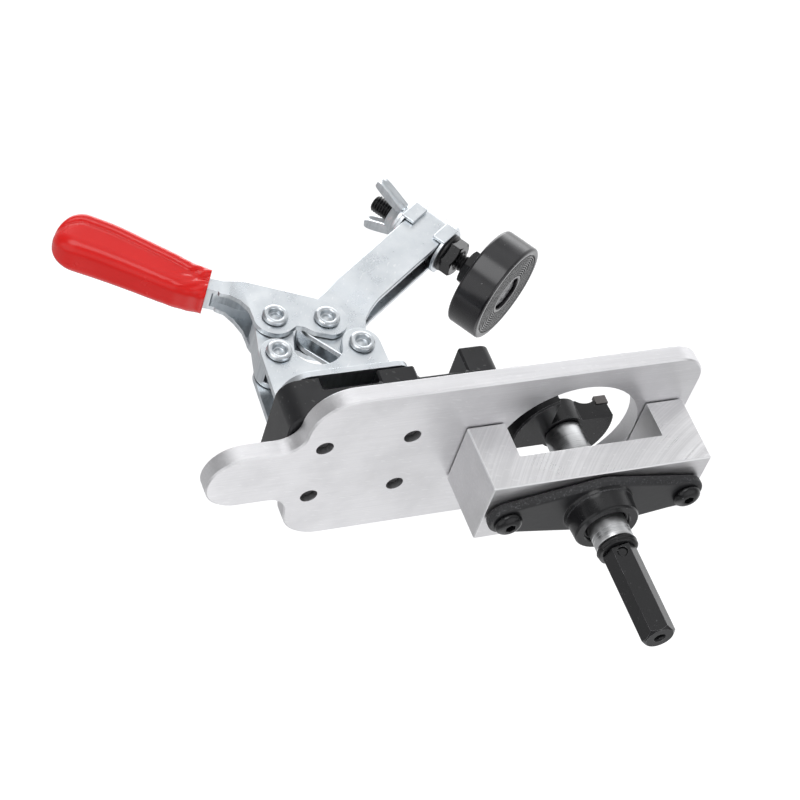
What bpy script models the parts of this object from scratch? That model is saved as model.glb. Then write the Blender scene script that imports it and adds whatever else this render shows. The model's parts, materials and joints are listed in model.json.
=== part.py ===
"""Cup-hinge boring jig with a toggle clamp, built as separate parts in metres, +Z up.

The origin is where the drill axis meets the underside of the base plate.  +X runs along the
plate away from the clamp, +Z runs up the drill towards its hexagonal drive shank.
Every constant is in millimetres or degrees; point() turns millimetres into metres.
"""
import math

import bmesh
import bpy
from mathutils import Matrix, Vector

MM = 0.001
GAP = 0.3                      # air left between neighbouring pieces
REACH = 90.0                   # how far a cutter runs past the solid it cuts

# Base plate, a flat bar with a narrow rounded tail
PLATE_THICK = 6.0
PLATE_HALF_WIDTH = 32.5
PLATE_RIGHT = 41.0
PLATE_CORNER = 11.0
TAIL_HALF_WIDTH = 11.5
TAIL_END = -107.5
NECK_Y = 18.6
NECK_CONVEX = 13.9
NECK_CONVEX_X = -76.6
NECK_CONCAVE = 7.1
CUTTER_HOLE = 24.6
PLATE_EDGE = 0.5

# Guide block, a bridge over the hole in the plate
BLOCK_HALF_LENGTH = 37.5
BLOCK_HALF_WIDTH = 12.6
BLOCK_TALL = 23.7
WINDOW_HALF = 24.7
WINDOW_TALL = 13.0
BLOCK_LOW = PLATE_THICK + GAP
BLOCK_TOP = BLOCK_LOW + BLOCK_TALL
LEG_X = (WINDOW_HALF + BLOCK_HALF_LENGTH) / 2
BLOCK_SCREW_Y = 6.8

# Cast guide flange with its boss, and the sleeve pressed into it
FLANGE_LOW = BLOCK_TOP + GAP
FLANGE_THICK = 3.6
FLANGE_TOP = FLANGE_LOW + FLANGE_THICK
FLANGE_MIDDLE = 11.8
FLANGE_EAR = 6.0
FLANGE_SCREW_X = 31.0
FLANGE_SCREW_HEAD = 4.5
BOSS_RADIUS = 10.4
BOSS_FOOT = 11.4
BOSS_TOP = 41.4
SPIGOT_RADIUS = 9.6
SPIGOT_LOW = BLOCK_LOW + WINDOW_TALL + 0.8
SLEEVE_OUT = 8.2
SLEEVE_IN = 6.45

# Boring bit
SHANK_RADIUS = 6.2
HEAD_RADIUS = 17.3
HEAD_TOP = 4.2
HEAD_LOW = -3.6
WING_WALL_Y = 5.0
WING_SIDE_X = 5.6
HUB_RADIUS = 7.4
BLADE_LONG = 4.6
BLADE_TALL = 2.4
SCOOP_RADIUS = 5.0
SCOOP_DEEP = 1.5
SCOOP_X = 9.6
SHOULDER_Z = 48.2
COLLAR_THICK = 2.4
COLLAR_OUT = 6.5
NECK_RADIUS = 4.0
HEX_LOW = SHOULDER_Z + COLLAR_THICK + 2 * GAP
HEX_TOP = 82.4
HEX_FLATS = 9.4
HEX_TURN = -12.0
STUB_RADIUS = 3.0
SET_SCREW_RADIUS = 1.4
SET_SCREW_UP = 2.2

# Fence bracket between the plate and the clamp
BRACKET_LEFT = -93.5
FENCE_X = -22.5
FENCE_THICK = 10.6
FENCE_LOW = -19.0
BRACKET_HALF = 20.0
BRACKET_LOW = -10.0
PAD_LOW = -14.7
LEFT_PAD_X = -80.5
RIGHT_PAD_X0 = -62.0
RIGHT_PAD_X1 = -49.5

# Clamp screws
CLAMP_SCREW_X = (-83.8, -55.3)
CLAMP_SCREW_Y = 11.8
CLAMP_SCREW_END = 4.2
SCREW_RADIUS = 2.45
HOLE_RADIUS = 2.8

# Toggle clamp: pivots, sheet and layers
SHEET = 2.0
FLANGE_UNDER = -15.0
FLANGE_LEFT = -91.0
FLANGE_RIGHT = -49.9
OUTER_FACE = 6.8
INNER_FACE = 4.4
PIVOT_A = (-56.2, -35.2)
PIVOT_B = (-83.8, -35.6)
PIVOT_C = (-80.5, -49.6)
PIVOT_D = (-64.1, -46.6)
LOBE_A = 6.3
LOBE_B = 5.7
LOBE_CD = 6.8
VALLEY = (-70.6, -37.6)
VALLEY_RADIUS = 8.6
RIVET_RADIUS = 2.6
RIVET_HEAD = 4.3
RIVET_HEAD_TALL = 1.4
THIN_RIVET = 1.9
PIVOT_BORE = RIVET_RADIUS + 0.3
LINK_OPEN_BORE = 4.7

# Arm, in its own frame: x along the arm from pivot A, z towards the pad
ARM_TILT = 34.5
ARM_TOP = -22.0
ARM_LOW = -7.6
ARM_TIP = 69.4
ARM_OUTER = 5.8
ARM_PIVOT_OUTER = INNER_FACE
FLARE_START = 11.0
FLARE_END = 21.0
ARM_LOBE_D = (0.0, -14.3)
ARM_LOBE_D_RADIUS = 7.7

# Spindle and its nuts, in the arm's frame
SPINDLE_X = 59.4
SPINDLE_RADIUS = 2.95
NUT_BORE = SPINDLE_RADIUS + GAP
SPINDLE_TOP = -35.9
WASHER_RADIUS = 8.0
WASHER_THICK = 1.2
TAB_HALF = 4.2
TAB_TALL = 3.5
HUB_LOW = 5.6
WING_NUT_TALL = 5.0
WING_SPAN = 11.0
WING_RISE = 13.2
WING_THICK = 4.2
JAM_NUT_FLATS = 11.0
JAM_NUT_TALL = 4.9
NECK_NUT_TOP = 2.6
NECK_NUT_TALL = 4.3
NECK_NUT_FLATS = 11.4
PAD_RADIUS = 17.5
PAD_TOP = 7.2
PAD_FACE = 18.9
PAD_RECESS = 6.1
PAD_RECESS_TOP = 12.6
BOLT_HEAD_TALL = 5.0

# Handle, in world X and Z
HANDLE_TOP_LINE = ((-58.6, -50.6), (-63.1, -54.2), (-78.2, -61.4), (-84.6, -64.4), (-90.5, -67.0))
CHANNEL_PATH = ((-90.5, -65.0), (-97.1, -68.0), (-103.2, -71.8), (-109.0, -76.4), (-124.0, -88.2))
CHANNEL_HALF = 4.6
CHANNEL_TALL = 4.6
GRIP_PATH = ((-96.4, -67.6), (-102.6, -71.0), (-107.6, -75.0), (-115.5, -81.4), (-123.4, -87.6),
             (-129.2, -91.6), (-134.2, -94.0))
GRIP_ACROSS = (5.4, 5.9, 6.4, 6.8, 7.3, 7.9, 7.3)
GRIP_WIDE = (6.2, 6.3, 6.5, 6.8, 7.1, 7.3, 6.6)
GRIP_WALL = 0.4

PARTS = None
CUTTERS = None


def point(x, y, z):
    return Vector((x, y, z)) * MM


def clear_scene():
    for obj in list(bpy.data.objects):
        bpy.data.objects.remove(obj, do_unlink=True)


def add_object(name, bm, collection):
    bmesh.ops.recalc_face_normals(bm, faces=bm.faces)
    mesh = bpy.data.meshes.new(name)
    bm.to_mesh(mesh)
    bm.free()
    obj = bpy.data.objects.new(name, mesh)
    collection.objects.link(obj)
    return obj


def arc(cx, cy, radius, start, end, steps):
    """Points of an arc from angle start to angle end, in degrees."""
    found = []
    for i in range(steps + 1):
        angle = math.radians(start + (end - start) * i / steps)
        found.append((cx + radius * math.cos(angle), cy + radius * math.sin(angle)))
    return found


def placed(axis, a, b, along):
    """A point whose outline coordinates are a and b, at a height along the axis."""
    if axis == "Z":
        return point(a, b, along)
    if axis == "Y":
        return point(a, along, b)
    return point(along, a, b)


def prism(name, outline, low, high, axis="Z", collection=None):
    bm = bmesh.new()
    bottom = [bm.verts.new(placed(axis, a, b, low)) for a, b in outline]
    face = bm.faces.new(bottom)
    made = bmesh.ops.extrude_face_region(bm, geom=[face])
    moved = [item for item in made["geom"] if isinstance(item, bmesh.types.BMVert)]
    shift = placed(axis, 0, 0, high - low)
    bmesh.ops.translate(bm, verts=moved, vec=shift)
    return add_object(name, bm, collection or PARTS)


def box(name, low, high, collection=None):
    outline = ((low[0], low[1]), (high[0], low[1]), (high[0], high[1]), (low[0], high[1]))
    return prism(name, outline, low[2], high[2], "Z", collection)


def turned(name, profile, steps, centre=(0, 0), axis="Z", collection=None):
    """A solid of revolution from (radius, height) pairs, about an axis through centre."""
    bm = bmesh.new()
    spine = [bm.verts.new(point(radius, 0, height)) for radius, height in profile]
    edges = [bm.edges.new((spine[i], spine[i + 1])) for i in range(len(spine) - 1)]
    if profile[0][0] > 0:
        edges.append(bm.edges.new((spine[-1], spine[0])))
    bmesh.ops.spin(bm, geom=spine + edges, cent=(0, 0, 0), axis=(0, 0, 1),
                   angle=2 * math.pi, steps=steps, use_merge=True)
    bmesh.ops.remove_doubles(bm, verts=bm.verts, dist=MM / 1000)
    if axis == "Y":
        bmesh.ops.transform(bm, matrix=Matrix.Rotation(-math.pi / 2, 4, "X"), verts=bm.verts)
    if axis == "X":
        bmesh.ops.transform(bm, matrix=Matrix.Rotation(math.pi / 2, 4, "Y"), verts=bm.verts)
    bmesh.ops.translate(bm, verts=bm.verts, vec=placed(axis, centre[0], centre[1], 0))
    return add_object(name, bm, collection or PARTS)


def rod(name, radius, low, high, centre=(0, 0), axis="Z", steps=28, collection=None):
    profile = ((0, high), (radius, high), (radius, low), (0, low))
    return turned(name, profile, steps, centre, axis, collection)


def hexagon(flats, turn=0.0, centre=(0, 0)):
    corner = flats / math.sqrt(3)
    return arc(centre[0], centre[1], corner, turn + 30, turn + 330, 5)


def combine(target, other, operation):
    modifier = target.modifiers.new(other.name, "BOOLEAN")
    modifier.operation = operation
    modifier.solver = "EXACT"
    modifier.object = other
    if other.name in PARTS.objects:
        PARTS.objects.unlink(other)
        CUTTERS.objects.link(other)
    other.hide_render = True
    other.display_type = "WIRE"


def cut(target, *cutters):
    for cutter in cutters:
        combine(target, cutter, "DIFFERENCE")


def fuse(target, *others):
    for other in others:
        combine(target, other, "UNION")


def bevel(obj, width, segments=1, angle=40.0):
    modifier = obj.modifiers.new("edges", "BEVEL")
    modifier.width = width * MM
    modifier.segments = segments
    modifier.limit_method = "ANGLE"
    modifier.angle_limit = math.radians(angle)


def material(name, color, roughness, metallic):
    made = bpy.data.materials.new(name)
    made.use_nodes = True
    shader = made.node_tree.nodes["Principled BSDF"]
    shader.inputs["Base Color"].default_value = (*color, 1.0)
    shader.inputs["Roughness"].default_value = roughness
    shader.inputs["Metallic"].default_value = metallic
    return made


def finish(obj, surface, parent=None):
    obj.data.materials.append(surface)
    obj.data.shade_smooth()
    obj.data.set_sharp_from_angle(angle=math.radians(35.0))
    if parent:
        obj.parent = parent
    return obj


def pivot(name, pos, tilt=0.0):
    """An empty on a joint's axis.  Its children are built relative to it."""
    holder = bpy.data.objects.new(name, None)
    PARTS.objects.link(holder)
    holder.empty_display_size = 10 * MM
    holder.location = point(*pos)
    holder.rotation_euler = (0, math.radians(tilt), 0)
    return holder


def recentre(obj, origin):
    """Moves the object's origin to a point in millimetres, leaving its shape where it is."""
    shift = point(*origin)
    obj.data.transform(Matrix.Translation(-shift))
    obj.location = obj.location + shift


def plate_outline():
    points = arc(PLATE_RIGHT - PLATE_CORNER, -PLATE_HALF_WIDTH + PLATE_CORNER, PLATE_CORNER, -90, 0, 8)
    points += arc(PLATE_RIGHT - PLATE_CORNER, PLATE_HALF_WIDTH - PLATE_CORNER, PLATE_CORNER, 0, 90, 8)
    upper = arc(NECK_CONVEX_X, NECK_Y, NECK_CONVEX, 90, 180, 10)
    neck_x = NECK_CONVEX_X - NECK_CONVEX - NECK_CONCAVE
    upper += arc(neck_x, NECK_Y, NECK_CONCAVE, 0, -90, 8)[1:]
    points += upper
    points += arc(TAIL_END, 0, TAIL_HALF_WIDTH, 90, 270, 20)
    points += [(x, -y) for x, y in reversed(upper)]
    return points


def hull(circles, steps=40):
    """The convex outline around (x, y, radius) circles."""
    cloud = []
    for cx, cy, radius in circles:
        cloud += arc(cx, cy, radius, 0, 360 - 360 / steps, steps - 1)
    cloud = sorted(set(cloud))
    chains = []
    for ordered in (cloud, cloud[::-1]):
        chain = []
        for p in ordered:
            while len(chain) > 1 and turn_of(chain[-2], chain[-1], p) <= 0:
                chain.pop()
            chain.append(p)
        chains.append(chain[:-1])
    return chains[0] + chains[1]


def turn_of(a, b, c):
    return (b[0] - a[0]) * (c[1] - a[1]) - (b[1] - a[1]) * (c[0] - a[0])


def button_screw(name, centre, seat, tip, surface, up=1, head=4.1):
    """A low domed screw with a hexagonal socket.  up is +1 when its head is on the +Z side."""
    tall = 2.3
    profile = ((0, seat + up * tall), (head * 0.55, seat + up * tall), (head * 0.86, seat + up * tall * 0.62),
               (head, seat + up * 0.5), (head, seat), (SCREW_RADIUS, seat), (SCREW_RADIUS, tip), (0, tip))
    screw = turned(name, profile, 24, centre)
    deep = seat + up * tall * 0.25
    far = seat + up * (tall + 1)
    socket = prism(name + "_socket", hexagon(3.2, 0, centre), min(deep, far), max(deep, far), "Z", CUTTERS)
    cut(screw, socket)
    finish(screw, surface)
    recentre(screw, (*centre, seat))
    return screw


def build_plate(metal):
    plate = prism("base_plate", plate_outline(), 0, PLATE_THICK)
    bevel(plate, PLATE_EDGE, 1, 60)
    cut(plate, rod("cutter_hole", CUTTER_HOLE, -1, PLATE_THICK + 1, steps=60, collection=CUTTERS))
    for x in CLAMP_SCREW_X:
        for y in (-CLAMP_SCREW_Y, CLAMP_SCREW_Y):
            hole = rod("plate_screw_hole", HOLE_RADIUS, -1, PLATE_THICK + 1, (x, y), steps=24, collection=CUTTERS)
            cut(plate, hole)
    for x in (-LEG_X, LEG_X):
        for y in (-BLOCK_SCREW_Y, BLOCK_SCREW_Y):
            profile = ((0, PLATE_THICK + 1), (HOLE_RADIUS, PLATE_THICK + 1), (HOLE_RADIUS, 2.9), (5.3, 0.4),
                       (5.3, -1), (0, -1))
            cut(plate, turned("countersink", profile, 24, (x, y), collection=CUTTERS))
    finish(plate, metal)


def build_block(metal, screw_metal):
    block = box("guide_block", (-BLOCK_HALF_LENGTH, -BLOCK_HALF_WIDTH, BLOCK_LOW),
                (BLOCK_HALF_LENGTH, BLOCK_HALF_WIDTH, BLOCK_TOP))
    bevel(block, 0.35, 1, 60)
    cut(block, box("window", (-WINDOW_HALF, -BLOCK_HALF_WIDTH - 1, BLOCK_LOW - 1),
                   (WINDOW_HALF, BLOCK_HALF_WIDTH + 1, BLOCK_LOW + WINDOW_TALL), CUTTERS))
    cut(block, rod("guide_hole", SPIGOT_RADIUS + GAP, BLOCK_LOW, BLOCK_TOP + 1, steps=40, collection=CUTTERS))
    for side, x in (("l", -LEG_X), ("r", LEG_X)):
        cut(block, rod("flange_tap", HOLE_RADIUS, BLOCK_TOP - 11, BLOCK_TOP + 1,
                       (math.copysign(FLANGE_SCREW_X, x), 0), steps=20, collection=CUTTERS))
        for end, y in (("a", -BLOCK_SCREW_Y), ("b", BLOCK_SCREW_Y)):
            cut(block, rod("block_tap", HOLE_RADIUS, BLOCK_LOW - 1, BLOCK_LOW + 11, (x, y), steps=20,
                           collection=CUTTERS))
            profile = ((0, BLOCK_LOW + 10), (SCREW_RADIUS, BLOCK_LOW + 10), (SCREW_RADIUS, 2.9), (4.6, 0.75),
                       (4.6, 0.4), (0, 0.4))
            screw = turned("block_screw_" + side + end, profile, 20, (x, y))
            cut(screw, prism("csk_socket", hexagon(3.2, 0, (x, y)), -1, 2.2, "Z", CUTTERS))
            finish(screw, screw_metal)
            recentre(screw, (x, y, 0.4))
    finish(block, metal)


def build_flange(cast, screw_metal, sleeve_metal):
    ears = ((-FLANGE_SCREW_X, 0, FLANGE_EAR), (0, 0, FLANGE_MIDDLE), (FLANGE_SCREW_X, 0, FLANGE_EAR))
    flange = prism("guide_flange", hull(ears, 36), FLANGE_LOW, FLANGE_TOP)
    bevel(flange, 0.7, 1, 50)
    boss = turned("boss", ((0, BOSS_TOP), (BOSS_RADIUS - 0.7, BOSS_TOP), (BOSS_RADIUS, BOSS_TOP - 0.7),
                           (BOSS_RADIUS + 0.25, FLANGE_TOP + 2.2), (BOSS_RADIUS + 0.8, FLANGE_TOP + 0.9),
                           (BOSS_FOOT - 1.2, FLANGE_TOP - 0.4), (SPIGOT_RADIUS, FLANGE_TOP - 0.8),
                           (SPIGOT_RADIUS, SPIGOT_LOW), (0, SPIGOT_LOW)), 36, collection=CUTTERS)
    fuse(flange, boss)
    bore = turned("boss_bore", ((0, BOSS_TOP + 1), (9.0, BOSS_TOP + 1), (9.0, BOSS_TOP - 0.2),
                                (SLEEVE_OUT + GAP, BOSS_TOP - 0.7), (SLEEVE_OUT + GAP, SPIGOT_LOW - 1),
                                (0, SPIGOT_LOW - 1)), 40, collection=CUTTERS)
    cut(flange, bore)
    for side, x in (("left", -FLANGE_SCREW_X), ("right", FLANGE_SCREW_X)):
        cut(flange, rod("ear_hole", HOLE_RADIUS, FLANGE_LOW - 1, FLANGE_TOP + 1, (x, 0), steps=20,
                        collection=CUTTERS))
        button_screw("flange_screw_" + side, (x, 0), FLANGE_TOP + GAP, BLOCK_TOP - 9, screw_metal,
                     head=FLANGE_SCREW_HEAD)
    finish(flange, cast)
    sleeve = turned("guide_sleeve", ((SLEEVE_IN + 0.5, BOSS_TOP - 0.9), (SLEEVE_OUT, BOSS_TOP - 0.9),
                                     (SLEEVE_OUT, SPIGOT_LOW + 0.2), (SLEEVE_IN, SPIGOT_LOW + 0.2),
                                     (SLEEVE_IN, BOSS_TOP - 1.4)), 40)
    finish(sleeve, sleeve_metal)


def wing_cutter(name, sign):
    """The quarter of the head that is open, one side of it along the cutting wall."""
    far = 2 * HEAD_RADIUS
    xs = sorted((-sign * WING_SIDE_X, sign * far))
    ys = sorted((sign * WING_WALL_Y, sign * far))
    return box(name, (xs[0], ys[0], HEAD_LOW - 2), (xs[1], ys[1], HEAD_TOP + 2), CUTTERS)


def build_bit(black, steel, carbide):
    collar = turned("stop_collar", ((NECK_RADIUS + GAP, SHOULDER_Z + COLLAR_THICK + GAP),
                                    (COLLAR_OUT - 0.5, SHOULDER_Z + COLLAR_THICK + GAP),
                                    (COLLAR_OUT, SHOULDER_Z + COLLAR_THICK - 0.2),
                                    (COLLAR_OUT, SHOULDER_Z + GAP), (NECK_RADIUS + GAP, SHOULDER_Z + GAP)), 40)
    finish(collar, black)
    head = turned("bit_head", ((0, HEAD_TOP), (HEAD_RADIUS - 0.5, HEAD_TOP), (HEAD_RADIUS, HEAD_TOP - 0.5),
                               (HEAD_RADIUS - 0.4, HEAD_LOW), (0, HEAD_LOW)), 60)
    cut(head, wing_cutter("gullet_a", 1), wing_cutter("gullet_b", -1))
    hub = rod("hub", HUB_RADIUS, HEAD_LOW, HEAD_TOP, steps=32, collection=CUTTERS)
    fuse(head, hub)
    cut(head, rod("hub_hole", STUB_RADIUS + GAP, HEAD_LOW - 1, HEAD_TOP + 1, steps=24, collection=CUTTERS))
    wall = WING_WALL_Y
    for name, sign in (("a", 1), ("b", -1)):
        inner = sign * (HEAD_RADIUS - BLADE_LONG)
        outer = sign * (HEAD_RADIUS - 0.4)
        xs = sorted((inner, outer))
        ys = sorted((sign * (wall - 1.4), sign * (wall + 0.2)))
        seat = box("cutter_seat_" + name, (xs[0] - GAP, min(ys[0], ys[1]) - GAP, HEAD_LOW - 1),
                   (xs[1] + 2, ys[1] + GAP, HEAD_LOW + BLADE_TALL + GAP), CUTTERS)
        scoop = rod("scoop_" + name, SCOOP_RADIUS, *sorted((sign * 0.5, sign * (wall + 1))),
                    (sign * SCOOP_X, HEAD_LOW - SCOOP_RADIUS + SCOOP_DEEP), "Y", 40, CUTTERS)
        cut(head, seat, scoop)
        blade = box("blade_" + name, (xs[0], ys[0], HEAD_LOW - 0.7), (xs[1], ys[1], HEAD_LOW + BLADE_TALL))
        finish(blade, carbide)
        spur_x = sign * (HEAD_RADIUS - 1.6)
        spur_y = -sign * 3.6
        spur = turned("spur_" + name, ((0, HEAD_LOW - GAP), (1.5, HEAD_LOW - GAP), (1.5, HEAD_LOW - 1.0),
                                       (0.5, HEAD_LOW - 2.0), (0, HEAD_LOW - 2.0)), 12, (spur_x * 0.95, spur_y))
        finish(spur, carbide)
    finish(head, black)
    shank = turned("bit_shank", ((0, HEX_LOW + 7.5), (STUB_RADIUS, HEX_LOW + 7.5), (STUB_RADIUS, HEX_LOW - GAP),
                                 (NECK_RADIUS, HEX_LOW - GAP), (NECK_RADIUS, SHOULDER_Z),
                                 (SHANK_RADIUS - 0.3, SHOULDER_Z), (SHANK_RADIUS, SHOULDER_Z - 0.3),
                                 (SHANK_RADIUS, HEAD_TOP + GAP), (STUB_RADIUS, HEAD_TOP + GAP),
                                 (STUB_RADIUS, HEAD_LOW - 0.8), (1.6, HEAD_LOW - 1.4), (0, HEAD_LOW - 4.2)), 40)
    finish(shank, steel)
    drive = prism("hex_shank", hexagon(HEX_FLATS, HEX_TURN), HEX_LOW, HEX_TOP)
    corner = HEX_FLATS / math.sqrt(3)
    chamfer = turned("hex_chamfer", ((0, HEX_TOP + 0.1), (corner - 1.1, HEX_TOP + 0.1), (corner + 0.6, HEX_TOP - 1.6),
                                     (corner + 0.6, HEX_LOW + 0.5), (corner - 0.3, HEX_LOW - 0.1),
                                     (0, HEX_LOW - 0.1)), 36, collection=CUTTERS)
    combine(drive, chamfer, "INTERSECT")
    cut(drive, rod("stub_hole", STUB_RADIUS + GAP, HEX_LOW - 1, HEX_LOW + 8.2, steps=24, collection=CUTTERS))
    centre_drill = turned("centre_drill", ((0, HEX_TOP + 1), (2.6, HEX_TOP + 1), (1.3, HEX_TOP - 1.1),
                                           (1.3, HEX_TOP - 3.5), (0, HEX_TOP - 4.2)), 24, collection=CUTTERS)
    cut(drive, centre_drill)
    angle = math.radians(HEX_TURN + 120)
    face = HEX_FLATS / 2
    turn = Matrix.Rotation(angle, 4, "Z")
    hole = rod("set_hole", SET_SCREW_RADIUS + GAP, STUB_RADIUS + 0.2, face + 1, (0, HEX_LOW + SET_SCREW_UP), "X", 20,
               CUTTERS)
    hole.data.transform(turn)
    cut(drive, hole)
    finish(drive, black)
    screw = rod("set_screw", SET_SCREW_RADIUS, STUB_RADIUS + GAP, face - 0.4, (0, HEX_LOW + SET_SCREW_UP), "X", 20)
    screw.data.transform(turn)
    finish(screw, black)


def build_bracket(black):
    corner = 6.0
    outline = arc(BRACKET_LEFT + corner, -BRACKET_HALF + corner, corner, 180, 270, 8)
    outline += arc(FENCE_X - 3, -BRACKET_HALF + 3, 3, -90, 0, 6)
    outline += arc(FENCE_X - 3, BRACKET_HALF - 3, 3, 0, 90, 6)
    outline += arc(BRACKET_LEFT + corner, BRACKET_HALF - corner, corner, 90, 180, 8)
    bracket = prism("fence_bracket", outline, FENCE_LOW, -GAP)
    cut(bracket, box("behind_fence", (RIGHT_PAD_X1, -REACH, -REACH), (FENCE_X - FENCE_THICK, REACH, BRACKET_LOW),
                     CUTTERS))
    cut(bracket, box("between_pads", (LEFT_PAD_X, -REACH, -REACH), (RIGHT_PAD_X0, REACH, BRACKET_LOW), CUTTERS))
    cut(bracket, box("left_pad_top", (-REACH * 2, -REACH, -REACH), (LEFT_PAD_X, REACH, PAD_LOW), CUTTERS))
    cut(bracket, box("right_pad_top", (RIGHT_PAD_X0, -REACH, -REACH), (RIGHT_PAD_X1, REACH, PAD_LOW), CUTTERS))
    for x in CLAMP_SCREW_X:
        for y in (-CLAMP_SCREW_Y, CLAMP_SCREW_Y):
            cut(bracket, rod("bracket_hole", HOLE_RADIUS, -REACH, 1, (x, y), steps=20, collection=CUTTERS))
    bevel(bracket, 0.7, 1, 50)
    finish(bracket, black)


def build_clamp_screws(surface):
    seat = FLANGE_UNDER - SHEET - GAP
    for row, x in zip(("back", "front"), CLAMP_SCREW_X):
        for side, y in (("l", -CLAMP_SCREW_Y), ("r", CLAMP_SCREW_Y)):
            button_screw("clamp_screw_" + row + "_" + side, (x, y), seat, CLAMP_SCREW_END, surface, -1)


def base_side_outline():
    """Upright wall of the clamp base: two lobes, the dip between them and a straight foot."""
    foot = FLANGE_UNDER
    points = [(FLANGE_LEFT + 0.6, foot)]
    points += arc(PIVOT_B[0], PIVOT_B[1], LOBE_B, 183, 330, 14)
    points += arc(VALLEY[0], VALLEY[1], VALLEY_RADIUS, 158, 30, 12)
    points += arc(PIVOT_A[0], PIVOT_A[1], LOBE_A, 200, 360, 14)
    points += [(PIVOT_A[0] + LOBE_A + 0.2, foot)]
    return points


def build_base(zinc, rivet_metal):
    for name, side in (("clamp_base_front", 1), ("clamp_base_rear", -1)):
        ys = sorted((side * (OUTER_FACE - SHEET), side * OUTER_FACE))
        wall = prism(name, base_side_outline(), ys[0], ys[1], "Y")
        radius_left = 8.5
        radius_right = 4.5
        outer = BRACKET_HALF
        rim = [(FLANGE_LEFT, OUTER_FACE - SHEET), (FLANGE_RIGHT, OUTER_FACE - SHEET)]
        rim += arc(FLANGE_RIGHT - radius_right, outer - radius_right, radius_right, 0, 90, 6)
        rim += arc(FLANGE_LEFT + radius_left, outer - radius_left, radius_left, 90, 180, 8)
        rim = [(x, side * y) for x, y in rim]
        foot = prism(name + "_foot", rim, FLANGE_UNDER - SHEET, FLANGE_UNDER, "Z", CUTTERS)
        bend = prism(name + "_bend", [(side * (OUTER_FACE - 0.5), FLANGE_UNDER - SHEET + 0.5),
                                      (side * (OUTER_FACE + 0.7), FLANGE_UNDER - SHEET + 0.5),
                                      (side * (OUTER_FACE + 0.3), FLANGE_UNDER - SHEET - 0.3),
                                      (side * OUTER_FACE, FLANGE_UNDER - SHEET - 0.8),
                                      (side * (OUTER_FACE - 0.5), FLANGE_UNDER - SHEET - 1.6)],
                     FLANGE_LEFT + 1.2, FLANGE_RIGHT - 0.2, "X", CUTTERS)
        fuse(wall, foot, bend)
        for x in CLAMP_SCREW_X:
            cut(wall, rod("foot_hole", HOLE_RADIUS, -REACH, 0, (x, side * CLAMP_SCREW_Y), steps=20,
                          collection=CUTTERS))
        for centre in (PIVOT_A, PIVOT_B):
            cut(wall, rod("base_pivot_hole", PIVOT_BORE, ys[0] - 1, ys[1] + 1, centre, "Y", 24, CUTTERS))
        finish(wall, zinc)


def build_rivet(name, centre, shaft, surface, parent=None):
    """A hollow-ended rivet through the whole stack, with a rolled ring at each end."""
    seat = OUTER_FACE + GAP
    top = seat + RIVET_HEAD_TALL
    half = [(0, top - 1.6), (1.5, top - 1.6), (2.1, top - 0.3), (2.7, top), (3.4, top), (RIVET_HEAD, top - 0.7),
            (RIVET_HEAD, seat), (shaft, seat)]
    profile = half + [(radius, -height) for radius, height in reversed(half)]
    rivet = turned(name, profile, 20, centre, "Y")
    finish(rivet, surface, parent)
    if parent is None:
        recentre(rivet, (centre[0], 0, centre[1]))
    return rivet


def strip_outline():
    """Plan of the bent strip: two legs that flare apart, joined by a half circle at the tip."""
    def side(outer):
        pivot_y = ARM_PIVOT_OUTER if outer else ARM_PIVOT_OUTER - SHEET
        slot_y = ARM_OUTER if outer else ARM_OUTER - SHEET
        run = [(-12, pivot_y)]
        steps = 6
        for i in range(steps + 1):
            share = i / steps
            ease = share * share * (3 - 2 * share)
            run.append((FLARE_START + (FLARE_END - FLARE_START) * share, pivot_y + (slot_y - pivot_y) * ease))
        return run, slot_y
    outer_run, outer_y = side(True)
    inner_run, inner_y = side(False)
    bend_x = ARM_TIP - ARM_OUTER
    points = outer_run + arc(bend_x, 0, outer_y, 90, -90, 24)
    points += [(x, -y) for x, y in reversed(outer_run)]
    points += [(x, -y) for x, y in inner_run] + arc(bend_x, 0, inner_y, -90, 90, 20)
    points += list(reversed(inner_run))
    return points


def arm_profile():
    """Side view of the arm in its own frame, x along it and z towards the pad."""
    points = arc(ARM_LOBE_D[0], ARM_LOBE_D[1], ARM_LOBE_D_RADIUS, 270, 180, 10)
    points += arc(0, 0, LOBE_A, 180, 0, 16)
    points += [(LOBE_A + 0.9, -2.2), (LOBE_A + 2.6, -4.2), (LOBE_A + 5.2, -5.9), (LOBE_A + 9.2, -7.0),
               (LOBE_A + 14.0, ARM_LOW)]
    points += [(ARM_TIP + 5, ARM_LOW), (ARM_TIP + 5, ARM_TOP)]
    return points


def build_arm(zinc, holder):
    arm = prism("clamp_arm", strip_outline(), ARM_TOP - 1, LOBE_A + 1)
    shape = prism("arm_profile", arm_profile(), -REACH, REACH, "Y", CUTTERS)
    combine(arm, shape, "INTERSECT")
    shape.parent = holder
    spot_d = to_arm(PIVOT_D)
    for centre in ((0, 0), spot_d):
        hole = rod("arm_pivot_hole", PIVOT_BORE, -REACH, REACH, centre, "Y", 24, CUTTERS)
        hole.parent = holder
        cut(arm, hole)
    finish(arm, zinc, holder)


def to_arm(spot):
    """World X and Z of a point turned into the arm's own frame."""
    angle = math.radians(ARM_TILT)
    dx = spot[0] - PIVOT_A[0]
    dz = spot[1] - PIVOT_A[1]
    return (dx * math.cos(angle) - dz * math.sin(angle), dx * math.sin(angle) + dz * math.cos(angle))


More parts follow.
